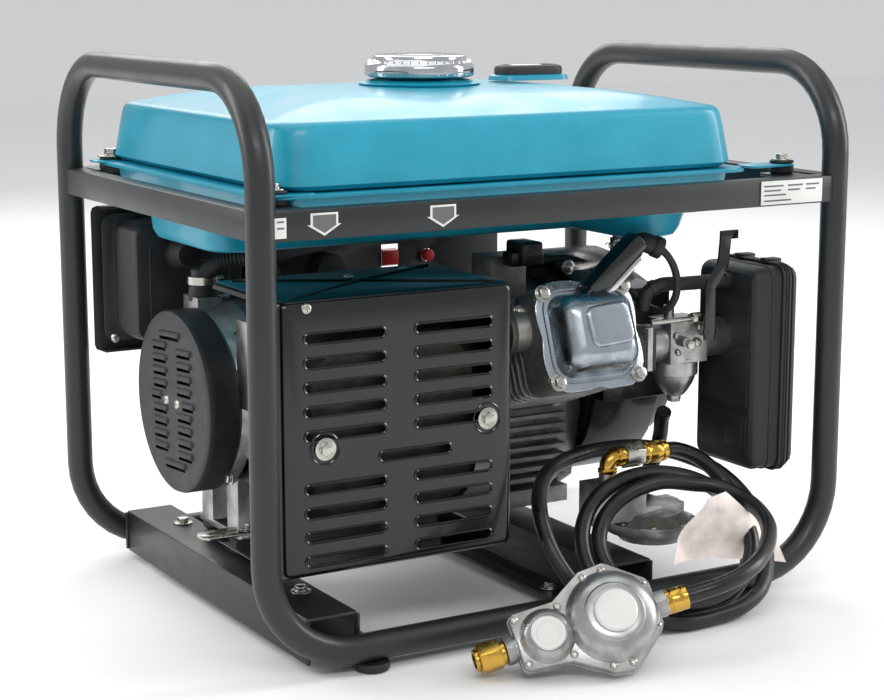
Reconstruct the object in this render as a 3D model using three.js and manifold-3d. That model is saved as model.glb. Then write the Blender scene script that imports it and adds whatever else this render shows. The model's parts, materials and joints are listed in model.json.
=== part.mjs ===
// Portable petrol and gas generator: a bent-tube carrying frame with a steel tank on top,
// a single-cylinder engine driving an alternator, a control panel at the back, and a gas
// supply kit at the front. Millimetres, +Z up, X along the crankshaft, -Y the exhaust side.
// The origin is the middle of the footprint, on the ground under the feet.

import * as THREE from 'three';
import { mergeVertices } from 'three/addons/utils/BufferGeometryUtils.js';
import Module from 'manifold-3d';

const wasm = await Module();
wasm.setup();

// ---------------------------------------------------------------- driving dimensions

const LENGTH = 600;
const WIDTH = 440;
const HEIGHT = 496;
const CLEAR = 0.3;

const TUBE_OD = 24;
const TUBE_WALL = 1.6;
const TUBE_BEND = 80;
const TUBE_SIDES = 12;
const FOOT_HEIGHT = 8;
const FOOT_OD = 30;
const SPLICE_RISE = 18;

const BELT_DROP = 111;
const BELT_HEIGHT = 24;
const BELT_LEG = 18;
const BELT_SHEET = 3;
const BELT_PROUD = 8;

const PAN_SHEET = 3;
const PAN_WIDTH = 46;
const PAN_TOP = 48;
const PAN_FLANGE = 30;
const ALTERNATOR_PAN_X = -223;
const ENGINE_PAN_X = 75;

const CRANK_Y = 40;
const CRANK_Z = 187;
const SHAFT_RADIUS = 10;
const SHAFT_RUNNING_GAP = 0.6;

const TANK_LENGTH = 462;
const TANK_X = -31;
const TANK_LIFT = 7;
const TANK_SIDE_GAP = 8;
const TANK_SHEET = 2;
const TANK_HEIGHT = 59;
const TANK_CROWN = 22;
const TANK_DRAFT = 9;
const TANK_LIP = 9;
const TANK_EAR = 14;
const LEFT_EAR_INSET = 2;
const RIGHT_EAR_REACH = 54;
const TANK_SHALLOW = 38;
const TANK_SUMP = 65;
const NECK_RADIUS = 26;
const CAP_RADIUS = 50;
const CAP_HEIGHT = 22;
const CAP_X = -28;
const GAUGE_X = 90;
const TAP_X = 158;
const TAP_Y = -60;

const CASE_X0 = -38;
const CASE_X1 = 124;
const CASE_BOTTOM = 62;
const CYLINDER_X = 57;
const CYLINDER_TILT = 20;
const CYLINDER_DROP = 8;
const HEAD_TOP = 205;
const PORT_DROP = 30;
const EXHAUST_PORT_OFFSET = 14;
const EXHAUST_PORT_REACH = 66;
const INTAKE_PORT_OFFSET = -10;
const INTAKE_PORT_REACH = 62;
const VALVE_COVER_WIDTH = 108;
const VALVE_COVER_HEIGHT = 100;
const VALVE_COVER_DEPTH = 32;

const MUFFLER_X0 = -265;
const MUFFLER_X1 = -45;
const MUFFLER_Z0 = 80;
const MUFFLER_Z1 = 310;
const MUFFLER_FRONT = 18;
const MUFFLER_REACH = 102;
const MUFFLER_SHEET = 2;
const SLOT_LENGTH = 74;
const SLOT_HEIGHT = 8;
const SLOT_PITCH = 20;
const SLOT_OFFSET = 51;

const FLANGE_LENGTH = 30;
const STATOR_RADIUS = 84;
const STATOR_LENGTH = 122;
const ROTOR_RADIUS = 55;
const AIR_GAP = 1.5;
const END_BRACKET_LENGTH = 40;
const END_COVER_RADIUS = 82.5;
const END_COVER_LENGTH = 28;

const FAN_RADIUS = 110;
const FAN_DEPTH = 75;
const DUCT_GAP = 27.9;
const FLYWHEEL_RADIUS = 92;
const FLYWHEEL_WIDTH = 34;
const RECOIL_RADIUS = 84;
const RECOIL_DEPTH = 36;
const PULLEY_RADIUS = 50;
const GRIP_HALF = 30;
const ROPE_RISE = 15;

const CARB_X = 172;
const THROAT_RADIUS = 11;
const BOWL_RADIUS = 19;
const CARB_BACK = 18;
const CHOKE_REACH = 28;

const AIR_BOX_X0 = 225;
const AIR_BOX_DEPTH = 52;
const AIR_BOX_Y0 = -178;
const AIR_BOX_Y1 = -90;
const AIR_BOX_Z0 = 107;
const AIR_BOX_Z1 = 298;
const AIR_BOX_WALL = 2.5;
const AIR_BOX_LID = 15;

const PANEL_X0 = -272;
const PANEL_X1 = 182;
const PANEL_HEIGHT = 140;
const PANEL_SHEET = 2.5;
const CONTROL_BOX_DEPTH = 62;
const SOCKET_SIZE = 58;
const SOCKET_REACH = 16;
const SOCKET_PLACES = [-60, 16];
const SOCKET_DROP = 8;
const CONDUIT_RADIUS = 8;

const GAS_X = 132;
const GAS_Y = -150;
const HOSE_OD = 14.5;
const HOSE_SIDES = 8;

// ---------------------------------------------------------------- derived places

const TUBE_R = TUBE_OD / 2;
const HOOP_X = LENGTH / 2 - TUBE_R;
const RAIL_Y = WIDTH / 2 - TUBE_R;
const RAIL_Z = FOOT_HEIGHT + TUBE_R;
const TOP_Z = HEIGHT - TUBE_R;
const SPLICE_Z = RAIL_Z + TUBE_BEND + SPLICE_RISE;

const BELT_TOP = HEIGHT - BELT_DROP;
const BELT_BOTTOM = BELT_TOP - BELT_HEIGHT;
const BELT_X = HOOP_X + BELT_PROUD;
const BELT_Y = RAIL_Y + BELT_PROUD;

const TANK_BASE_Z = BELT_TOP + TANK_LIFT;
const TANK_HALF_LENGTH = TANK_LENGTH / 2;
const TANK_ROOF = TANK_HEIGHT + TANK_CROWN * 0.86;
const TANK_FLOOR_Z = TANK_BASE_Z - TANK_SUMP;
const TANK_HALF_WIDTH = BELT_Y - BELT_LEG - TANK_SIDE_GAP - 2;

const ALTERNATOR_FACE = CASE_X0 - 2;
const FAN_X0 = CASE_X1 + CLEAR;
const RECOIL_X0 = FAN_X0 + FAN_DEPTH + CLEAR;
const MUFFLER_Y = -(RAIL_Y - MUFFLER_FRONT);
const MUFFLER_DEPTH = CRANK_Y - MUFFLER_REACH - MUFFLER_Y;
const PANEL_Y = RAIL_Y - 6;
const PANEL_TOP = BELT_BOTTOM - 13;
const PANEL_BOTTOM = PANEL_TOP - PANEL_HEIGHT;

// ---------------------------------------------------------------- finishes

const FINISHES = {
  frame: { color: 0x36383a, roughness: 0.45, metalness: 0.5 },
  tank: { color: 0x43a3b5, roughness: 0.25, metalness: 0.2 },
  black: { color: 0x191a1b, roughness: 0.3, metalness: 0.3 },
  plastic: { color: 0x3f4142, roughness: 0.65, metalness: 0 },
  alloy: { color: 0xa6a39d, roughness: 0.5, metalness: 0.8 },
  zinc: { color: 0xc4c8cb, roughness: 0.28, metalness: 0.95 },
  chrome: { color: 0xe0e2e4, roughness: 0.12, metalness: 1 },
  iron: { color: 0x5b5754, roughness: 0.6, metalness: 0.7 },
  brass: { color: 0xc8a24a, roughness: 0.3, metalness: 0.95 },
  copper: { color: 0xa65f38, roughness: 0.4, metalness: 0.8 },
  rubber: { color: 0x161616, roughness: 0.75, metalness: 0 },
  red: { color: 0xa4261f, roughness: 0.4, metalness: 0 },
  filter: { color: 0x2b2b2a, roughness: 0.95, metalness: 0 },
};

// ---------------------------------------------------------------- solid helpers

function solidOf(geometry) {
  const bare = geometry.clone();
  bare.deleteAttribute('normal');
  bare.deleteAttribute('uv');
  const merged = mergeVertices(bare, 1e-4);
  return new wasm.Manifold(new wasm.Mesh({
    numProp: 3,
    vertProperties: new Float32Array(merged.attributes.position.array),
    triVerts: new Uint32Array(merged.index.array),
  }));
}

function geometryOf(solid) {
  const mesh = solid.getMesh();
  const geometry = new THREE.BufferGeometry();
  geometry.setAttribute('position', new THREE.BufferAttribute(new Float32Array(mesh.vertProperties), 3));
  geometry.setIndex(new THREE.BufferAttribute(new Uint32Array(mesh.triVerts), 1));
  const flat = geometry.toNonIndexed();
  flat.computeVertexNormals();
  return flat;
}

function join(...solids) {
  return solids.reduce((sum, next) => sum.add(next));
}

function cut(base, ...tools) {
  return tools.reduce((rest, tool) => rest.subtract(tool), base);
}

function slab(x0, x1, y0, y1, z0, z1) {
  const geometry = new THREE.BoxGeometry(x1 - x0, y1 - y0, z1 - z0);
  geometry.translate((x0 + x1) / 2, (y0 + y1) / 2, (z0 + z1) / 2);
  return solidOf(geometry);
}

// A cylinder whose axis runs along 'x', 'y' or 'z', from one end to the other.
function rod(radius, axis, from, to, across, sides = 24) {
  const geometry = new THREE.CylinderGeometry(radius, radius, to - from, sides);
  const middle = (from + to) / 2;
  if (axis === 'z') geometry.rotateX(Math.PI / 2);
  if (axis === 'x') geometry.rotateZ(Math.PI / 2);
  const centre = {
    x: [middle, across[0], across[1]],
    y: [across[0], middle, across[1]],
    z: [across[0], across[1], middle],
  }[axis];
  geometry.translate(...centre);
  return solidOf(geometry);
}

// A body of revolution about Z from [radius, z] pairs that start and end on the axis,
// or close on themselves when the last pair repeats the first.
function turned(profile, sides = 32) {
  const geometry = new THREE.LatheGeometry(profile.map(([r, z]) => new THREE.Vector2(r, z)), sides);
  geometry.rotateX(Math.PI / 2);
  const solid = solidOf(geometry);
  return solid.volume() < 0 ? solidOf(inverted(geometry)) : solid;
}

function inverted(geometry) {
  const copy = geometry.clone();
  const index = copy.index.array;
  for (let i = 0; i < index.length; i += 3) {
    const swap = index[i];
    index[i] = index[i + 1];
    index[i + 1] = swap;
  }
  return copy;
}

function outlineOf(points) {
  return new THREE.Shape(points.map(([x, y]) => new THREE.Vector2(x, y)));
}

// A flat outline in XY raised along Z.
function prism(points, z0, z1) {
  const geometry = new THREE.ExtrudeGeometry(outlineOf(points), { depth: z1 - z0, bevelEnabled: false });
  geometry.translate(0, 0, z0);
  return solidOf(geometry);
}

function roundedOutline(halfX, halfY, cornerRadius, arcSteps = 3, centreX = 0, centreY = 0) {
  const radius = Math.min(cornerRadius, halfX - 0.5, halfY - 0.5);
  const points = [];
  const corners = [[1, 1, 0], [-1, 1, 90], [-1, -1, 180], [1, -1, 270]];
  for (const [sx, sy, start] of corners) {
    for (let i = 0; i <= arcSteps; i += 1) {
      const angle = THREE.MathUtils.degToRad(start + (90 * i) / arcSteps);
      const x = centreX + sx * (halfX - radius) + radius * Math.cos(angle);
      const y = centreY + sy * (halfY - radius) + radius * Math.sin(angle);
      points.push([x, y]);
    }
  }
  return points;
}

function circleOutline(radius, sides, x = 0, y = 0) {
  const points = [];
  for (let i = 0; i < sides; i += 1) {
    const angle = (2 * Math.PI * i) / sides;
    points.push([x + radius * Math.cos(angle), y + radius * Math.sin(angle)]);
  }
  return points;
}

// A closed solid through rings that all have the same number of points, each [outline, z].
function loft(rings) {
  const count = rings[0][0].length;
  const positions = [];
  for (const [outline, z] of rings) {
    for (const [x, y] of outline) positions.push(x, y, z);
  }
  const index = [];
  for (let level = 0; level < rings.length - 1; level += 1) {
    for (let i = 0; i < count; i += 1) {
      const a = level * count + i;
      const b = level * count + ((i + 1) % count);
      index.push(a, b, b + count, a, b + count, a + count);
    }
  }
  const last = (rings.length - 1) * count;
  const cap = THREE.ShapeUtils.triangulateShape(rings[0][0].map(([x, y]) => new THREE.Vector2(x, y)), []);
  for (const [a, b, c] of cap) index.push(a, c, b);
  const lid = THREE.ShapeUtils.triangulateShape(
    rings[rings.length - 1][0].map(([x, y]) => new THREE.Vector2(x, y)), []);
  for (const [a, b, c] of lid) index.push(last + a, last + b, last + c);
  const geometry = new THREE.BufferGeometry();
  geometry.setAttribute('position', new THREE.BufferAttribute(new Float32Array(positions), 3));
  geometry.setIndex(index);
  return solidOf(geometry);
}

// A path whose stations are used exactly as given, so that straight runs need two only.
class StationPath extends THREE.Curve {
  constructor(stations) {
    super();
    this.stations = stations.map((p) => new THREE.Vector3(...p));
  }

  getPoint(t) {
    const last = this.stations.length - 1;
    const i = Math.min(Math.floor(t * last + 1e-9), last - 1);
    return this.stations[i].clone().lerp(this.stations[i + 1], t * last - i);
  }

  getPointAt(u) {
    return this.getPoint(u);
  }

  getTangentAt(u) {
    const last = this.stations.length - 1;
    const i = Math.round(u * last);
    const into = this.stations[Math.max(i, 1)].clone().sub(this.stations[Math.max(i, 1) - 1]).normalize();
    const out = this.stations[Math.min(i, last - 1) + 1].clone().sub(this.stations[Math.min(i, last - 1)]);
    return into.add(out.normalize()).normalize();
  }
}

function sweep(section, stations) {
  return solidOf(new THREE.ExtrudeGeometry(section, {
    steps: stations.length - 1,
    extrudePath: new StationPath(stations),
    bevelEnabled: false,
  }));
}

function pipe(stations, radius, sides = HOSE_SIDES) {
  return sweep(outlineOf(circleOutline(radius, sides)), stations);
}

function hollowPipe(stations, radius, wall, sides = TUBE_SIDES) {
  const section = outlineOf(circleOutline(radius, sides));
  section.holes.push(outlineOf(circleOutline(radius - wall, sides)));
  return sweep(section, stations);
}

// Stations along a polyline whose inner corners are bent to one radius.
function bentRoute(corners, radius, arcSteps) {
  const points = corners.map((p) => new THREE.Vector3(...p));
  const stations = [points[0]];
  for (let i = 1; i < points.length - 1; i += 1) {
    const back = points[i - 1].clone().sub(points[i]).normalize();
    const ahead = points[i + 1].clone().sub(points[i]).normalize();
    const half = back.angleTo(ahead) / 2;
    const reach = radius / Math.tan(half);
    const start = points[i].clone().addScaledVector(back, reach);
    const centre = points[i].clone().addScaledVector(back.clone().add(ahead).normalize(), radius / Math.sin(half));
    const axis = back.clone().cross(ahead).normalize();
    const sweepAngle = Math.PI - 2 * half;
    for (let k = 0; k <= arcSteps; k += 1) {
      const spoke = start.clone().sub(centre).applyAxisAngle(axis, (-sweepAngle * k) / arcSteps);
      stations.push(centre.clone().add(spoke));
    }
  }
  stations.push(points[points.length - 1]);
  return stations.map((p) => [p.x, p.y, p.z]);
}

// Stations on one smooth curve through hand-placed points, about `spacing` apart. The
// first and the last leg stay straight, so that the ends are square to them.
function smoothRoute(points, spacing) {
  const inner = points.slice(1, -1).map((p) => new THREE.Vector3(...p));
  const curve = new THREE.CatmullRomCurve3(inner, false, 'centripetal');
  const steps = Math.max(2, Math.round(curve.getLength() / spacing));
  const middle = curve.getSpacedPoints(steps).map((p) => [p.x, p.y, p.z]);
  return [points[0], ...middle, points[points.length - 1]];
}

// ---------------------------------------------------------------- scene graph

const generator = new THREE.Group();

function group(parent, position = [0, 0, 0], rotation = [0, 0, 0], order = 'XYZ') {
  const child = new THREE.Group();
  child.position.set(...position);
  child.rotation.set(...rotation, order);
  parent.add(child);
  return child;
}

function piece(parent, name, solid, finish, position = [0, 0, 0]) {
  const mesh = new THREE.Mesh(geometryOf(solid), new THREE.MeshStandardMaterial(FINISHES[finish]));
  mesh.name = name;
  mesh.position.set(...position);
  parent.add(mesh);
  return mesh;
}

const DEG = Math.PI / 180;

// ---------------------------------------------------------------- frame

function buildFrame() {
  const frame = group(generator);
  for (const [name, side] of [['left_hoop', -1], ['right_hoop', 1]]) {
    const route = bentRoute([
      [0, -RAIL_Y, SPLICE_Z + CLEAR], [0, -RAIL_Y, TOP_Z], [0, RAIL_Y, TOP_Z], [0, RAIL_Y, SPLICE_Z + CLEAR],
    ], TUBE_BEND, 5);
    piece(frame, name, hollowPipe(route, TUBE_R, TUBE_WALL), 'frame', [side * HOOP_X, 0, 0]);
  }
  for (const [name, side] of [['front_rail', -1], ['rear_rail', 1]]) {
    const route = bentRoute([
      [-HOOP_X, 0, SPLICE_Z], [-HOOP_X, 0, RAIL_Z], [HOOP_X, 0, RAIL_Z], [HOOP_X, 0, SPLICE_Z],
    ], TUBE_BEND, 5);
    piece(frame, name, hollowPipe(route, TUBE_R, TUBE_WALL), 'frame', [0, side * RAIL_Y, 0]);
  }
  buildBelt(frame);
  buildPans(frame);
  buildFeet(frame);
}

function uprights(grow) {
  const posts = [];
  for (const x of [-HOOP_X, HOOP_X]) {
    for (const y of [-RAIL_Y, RAIL_Y]) {
      const radius = (TUBE_R + grow) / Math.cos(Math.PI / TUBE_SIDES);
      posts.push(rod(radius, 'z', BELT_BOTTOM - 20, BELT_TOP + 20, [x, y], TUBE_SIDES * 2));
    }
  }
  return posts;
}

function buildBelt(frame) {
  const posts = uprights(CLEAR);
  const trayRoom = tankTray(4, 20).translate([TANK_X, 0, TANK_BASE_Z]);
  const legZ = BELT_TOP - BELT_SHEET;
  for (const [name, side] of [['belt_front', -1], ['belt_rear', 1]]) {
    const [low, high] = side < 0 ? [-BELT_Y, -BELT_Y + BELT_SHEET] : [BELT_Y - BELT_SHEET, BELT_Y];
    const [legLow, legHigh] = side < 0 ? [-BELT_Y, -BELT_Y + BELT_LEG] : [BELT_Y - BELT_LEG, BELT_Y];
    let bar = join(
      slab(-HOOP_X, HOOP_X, low, high, BELT_BOTTOM, BELT_TOP),
      slab(-HOOP_X, HOOP_X, legLow, legHigh, legZ, BELT_TOP),
    );
    for (const x of tankEarPlaces()) {
      const [tabLow, tabHigh] = side < 0 ? [legLow, TANK_EAR - tankEarY()] : [tankEarY() - TANK_EAR, legHigh];
      bar = join(bar, slab(x - TANK_EAR, x + TANK_EAR, tabLow, tabHigh, legZ, BELT_TOP));
    }
    piece(frame, name, cut(bar, ...posts, trayRoom), 'frame');
  }
  const reach = RAIL_Y + 2;
  const corner = BELT_Y - BELT_LEG - CLEAR;
  for (const [name, side] of [['belt_left', -1], ['belt_right', 1]]) {
    const [low, high] = side < 0 ? [-BELT_X, -BELT_X + BELT_SHEET] : [BELT_X - BELT_SHEET, BELT_X];
    const [legLow, legHigh] = side < 0 ? [-BELT_X, -BELT_X + BELT_LEG] : [BELT_X - BELT_LEG, BELT_X];
    const bar = join(
      slab(low, high, -reach, reach, BELT_BOTTOM, BELT_TOP),
      slab(legLow, legHigh, -corner, corner, legZ, BELT_TOP),
    );
    piece(frame, name, cut(bar, ...posts), 'frame');
  }
}

// The tank stands on four ears, near the ends of the two long belt bars.
function tankEarPlaces() {
  return [TANK_X - TANK_HALF_LENGTH + LEFT_EAR_INSET, TANK_X + TANK_HALF_LENGTH + RIGHT_EAR_REACH];
}

function tankEarY() {
  return TANK_HALF_WIDTH - TANK_EAR;
}

// A cross member: an inverted channel with one outward flange, welded between the rails.
function pan(flangeSide) {
  const half = PAN_WIDTH / 2;
  const base = FOOT_HEIGHT;
  const length = RAIL_Y - TUBE_R - CLEAR;
  const channel = join(
    slab(-half, half, -length, length, PAN_TOP - PAN_SHEET, PAN_TOP),
    slab(-half, -half + PAN_SHEET, -length, length, base, PAN_TOP),
    slab(half - PAN_SHEET, half, -length, length, base, PAN_TOP),
  );
  const [low, high] = flangeSide > 0 ? [half - PAN_SHEET, half + PAN_FLANGE] : [-half - PAN_FLANGE, -half + PAN_SHEET];
  const boltX = flangeSide * (half + PAN_FLANGE / 2);
  const flanged = join(channel, slab(low, high, -length, length, base, base + PAN_SHEET));
  const holes = [-length + 70, length - 70].map((y) => rod(4.5, 'z', base - 1, base + PAN_SHEET + 1, [boltX, y], 12));
  return cut(flanged, ...holes);
}

function buildPans(frame) {
  piece(frame, 'alternator_pan', pan(1), 'frame', [ALTERNATOR_PAN_X, 0, 0]);
  piece(frame, 'engine_pan', pan(-1), 'frame', [ENGINE_PAN_X, 0, 0]);
}

function buildFeet(frame) {
  let number = 1;
  const height = RAIL_Z - TUBE_R - CLEAR;
  for (const x of [-HOOP_X + TUBE_BEND + 15, HOOP_X - TUBE_BEND - 15]) {
    for (const y of [-RAIL_Y, RAIL_Y]) {
      const foot = turned([[0, 0], [FOOT_OD / 2 - 2, 0], [FOOT_OD / 2, 2], [FOOT_OD / 2, height], [0, height]], 16);
      piece(frame, `rubber_foot_${number}`, foot, 'rubber', [x, y, 0]);
      number += 1;
    }
  }
}

// ---------------------------------------------------------------- tank

function tankRings(grow, floor) {
  const hx = TANK_HALF_LENGTH + grow;
  const hy = TANK_HALF_WIDTH - 2 + grow;
  const top = TANK_HEIGHT + grow;
  const ring = (inset, radius, z) => [roundedOutline(hx - inset, hy - inset, radius, 3), z];
  return [
    ring(0, 26, floor),
    ring(TANK_DRAFT, 26, top - 8),
    ring(TANK_DRAFT + 3, 24, top - 2.5),
    ring(TANK_DRAFT + 10, 20, top + 1),
    ring(TANK_DRAFT + 50, 18, top + TANK_CROWN * 0.5),
    ring(TANK_DRAFT + 110, 14, top + TANK_CROWN * 0.82),
    ring(TANK_DRAFT + 150, 10, TANK_ROOF + grow),
  ];
}

function tankFlange() {
  const plate = prism(roundedOutline(TANK_HALF_LENGTH + TANK_LIP, TANK_HALF_WIDTH, 18, 3), 0, TANK_SHEET);
  const ears = [];
  for (const x of tankEarPlaces()) {
    const local = x - TANK_X;
    const inner = local < 0 ? local + 2 * TANK_EAR + 2 : local - RIGHT_EAR_REACH - TANK_LIP + 1;
    for (const side of [-1, 1]) {
      const y0 = side * (tankEarY() - TANK_EAR);
      const y1 = side * (tankEarY() + TANK_EAR);
      const outer = local + Math.sign(local) * (TANK_EAR + 1);
      ears.push(slab(Math.min(inner, outer), Math.max(inner, outer), Math.min(y0, y1), Math.max(y0, y1), 0, TANK_SHEET));
    }
  }
  return join(plate, ...ears);
}

function earHoles(z0, z1) {
  const holes = [];
  for (const x of tankEarPlaces()) {
    for (const side of [-1, 1]) holes.push(rod(4.2, 'z', z0, z1, [x - TANK_X, side * tankEarY()], 12));
  }
  return holes;
}

function buildTank() {
  const tank = group(generator, [TANK_X, 0, TANK_BASE_Z]);
  const capX = CAP_X - TANK_X;
  const gaugeX = GAUGE_X - TANK_X;
  const roof = TANK_ROOF;

  const skin = loft(tankRings(0, TANK_SHEET / 2));
  const hollow = loft([
    [roundedOutline(TANK_HALF_LENGTH - TANK_SHEET, TANK_HALF_WIDTH - 2 - TANK_SHEET, 24, 3), -5],
    ...tankRings(-TANK_SHEET, TANK_SHEET),
  ]);
  const neck = turned([
    [0, roof - 8], [CAP_RADIUS + 4, roof - 8], [CAP_RADIUS + 2, roof - 3], [NECK_RADIUS + 6, roof + 1],
    [NECK_RADIUS, roof + 2], [NECK_RADIUS, roof + 9], [0, roof + 9],
  ], 32).translate([capX, 0, 0]);
  const bore = rod(NECK_RADIUS - TANK_SHEET, 'z', roof - 20, roof + 20, [capX, 0], 24);
  const gaugeSeat = slab(gaugeX - 36, gaugeX + 36, -17, 17, roof - 8, roof + 1.5);
  const gaugeHole = rod(15, 'z', roof - 20, roof + 20, [gaugeX, 0], 16);
  const upper = cut(join(skin, tankFlange(), neck, gaugeSeat), hollow, bore, gaugeHole, ...earHoles(-1, 4));
  piece(tank, 'tank_upper', upper, 'tank');

  const lower = cut(tankTray(0, -CLEAR), tankTray(-TANK_SHEET, 5));
  const rim = cut(
    prism(roundedOutline(TANK_HALF_LENGTH + TANK_LIP, TANK_HALF_WIDTH, 18, 3), -TANK_SHEET - CLEAR, -CLEAR),
    tankTray(-TANK_SHEET, 5),
  );
  piece(tank, 'tank_lower', join(lower, rim), 'tank');

  const tapX = TAP_X - TANK_X;
  const tapHalf = 8;
  const tap = join(
    rod(9, 'z', -TANK_SUMP - 10, -TANK_SUMP - CLEAR, [tapX, TAP_Y], 16),
    slab(tapX - tapHalf, tapX + tapHalf, TAP_Y - tapHalf, TAP_Y + tapHalf, -TANK_SUMP - 26, -TANK_SUMP - 8),
    rod(4, 'z', -TANK_SUMP - 40, -TANK_SUMP - 25, [tapX, TAP_Y], 12),
  );
  piece(tank, 'fuel_tap', tap, 'alloy');
  const handleX = tapX + tapHalf + CLEAR;
  const handle = join(
    rod(6, 'x', handleX, handleX + 5, [TAP_Y, -TANK_SUMP - 17], 16),
    slab(handleX + 1.5, handleX + 5, TAP_Y - 3.5, TAP_Y + 3.5, -TANK_SUMP - 40, -TANK_SUMP - 12),
  );
  piece(tank, 'fuel_valve_lever', handle, 'black');

  const rimZ = roof + 2 + CLEAR;
  const capFloor = roof + 9 + CLEAR;
  const gasket = turned([
    [NECK_RADIUS - 8, capFloor], [NECK_RADIUS + 3, capFloor], [NECK_RADIUS + 3, capFloor + 2.5],
    [NECK_RADIUS - 8, capFloor + 2.5], [NECK_RADIUS - 8, capFloor],
  ], 24);
  piece(tank, 'cap_gasket', gasket, 'rubber', [capX, 0, 0]);
  const capTop = rimZ + CAP_HEIGHT - 2;
  const cap = turned([
    [0, capTop], [CAP_RADIUS - 12, capTop], [CAP_RADIUS - 4, capTop - 2], [CAP_RADIUS, capTop - 7],
    [CAP_RADIUS, rimZ + 3], [CAP_RADIUS - 2.5, rimZ], [CAP_RADIUS - 4, rimZ], [CAP_RADIUS - 4, capFloor + 2.5 + CLEAR],
    [0, capFloor + 2.5 + CLEAR],
  ], 40);
  piece(tank, 'fuel_cap', cap, 'chrome', [capX, 0, 0]);

  const gauge = join(
    prism(roundedOutline(34, 16, 12, 3), roof + 1.5 + CLEAR, roof + 10),
    rod(14, 'z', roof - 18, roof + 5, [0, 0], 16),
  );
  piece(tank, 'fuel_gauge', gauge, 'plastic', [gaugeX, 0, 0]);
}

// The lower half of the tank: a shallow tray, a deep sump over the engine's back half,
// and a round-ended bulge over the carburettor.
function tankTray(grow, top) {
  const hx = TANK_HALF_LENGTH - 4;
  const hy = TANK_HALF_WIDTH - 6;
  const box = (x0, x1, y0, y1, depth, draft, radius) => {
    const cx = (x0 + x1) / 2;
    const cy = (y0 + y1) / 2;
    const wide = (inset, z) => [
      roundedOutline((x1 - x0) / 2 + grow - inset, (y1 - y0) / 2 + grow - inset, radius, 3, cx, cy), z];
    return loft([
      wide(draft + 9, -depth - grow), wide(draft + 3, -depth - grow + 2.5), wide(draft, -depth - grow + 9),
      wide(0, top),
    ]);
  };
  return join(
    box(-hx, hx, -hy, hy, TANK_SHALLOW, 4, 22),
    box(-hx + 2, hx - 2, -40, hy - 60, TANK_SUMP, 5, 22),
    box(TAP_X - TANK_X - 58, hx - 2, TAP_Y - 90, TAP_Y + 80, TANK_SUMP, 14, 24),
  );
}

// ---------------------------------------------------------------- engine

function buildEngine() {
  const engine = group(generator, [0, CRANK_Y, CRANK_Z]);
  buildCrankcase(engine);
  buildCylinder();
  buildFlywheelEnd(engine);
}

function shaftBore(x0, x1) {
  return rod(SHAFT_RADIUS + SHAFT_RUNNING_GAP, 'x', x0, x1, [0, 0], 32);
}

function cylinderTool(solid) {
  const tilt = 90 - CYLINDER_TILT;
  return solid.rotate([tilt, 0, 0]).translate([CYLINDER_X, 0, -CYLINDER_DROP]);
}

function buildCrankcase(engine) {
  const base = CASE_BOTTOM - CRANK_Z;
  const outline = [[-115, -46], [-100, -70], [-30, -84], [40, -84], [78, -50], [84, 40], [70, 72], [20, 84], [-60, 74], [-108, 40]];
  const shell = prism(outline.map(([z, y]) => [z, y]), CASE_X0, CASE_X1);
  const upright = shell.rotate([0, -90, 0]).scale([-1, 1, 1]);
  const body = solidOf(geometryOf(upright));
  const feet = slab(CASE_X0 + 6, CASE_X1 - 6, -72, 82, base, base + 16);
  const fins = [];
  for (let i = 0; i < 8; i += 1) {
    const z = -96 + i * 10;
    fins.push(slab(CASE_X0 + 12, CASE_X1 - 20, -90, -60, z, z + 4));
  }
  const bracket = slab(32, 70, -70, -34, 70, 118);
  const barrelHole = cylinderTool(rod(56, 'z', 78, 200, [0, 0], 24));
  const mouth = ALTERNATOR_FACE - FLANGE_LENGTH;
  const flange = turned([
    [0, CASE_X0 + 5], [74, CASE_X0 + 5], [STATOR_RADIUS + 2, CASE_X0 - 20], [STATOR_RADIUS + 2, mouth],
    [STATOR_RADIUS - 6, mouth], [64, CASE_X0 - 12], [0, CASE_X0 - 12],
  ], 32).rotate([0, 90, 0]);
  const crankcase = cut(
    join(body, feet, ...fins, bracket, flange), barrelHole, shaftBore(mouth - 20, CASE_X1 + 20));
  piece(engine, 'crankcase', crankcase, 'alloy');

  const dipX = 10;
  const dipstick = join(
    rod(11, 'y', -106, -90.3, [dipX, -88], 16),
    slab(dipX - 3, dipX + 3, -114, -105, -98, -78),
  );
  const boss = slab(dipX - 14, dipX + 14, -90 + CLEAR, -80, -102, -74);
  piece(engine, 'oil_dipstick', cut(dipstick, boss), 'plastic');
}

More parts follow.
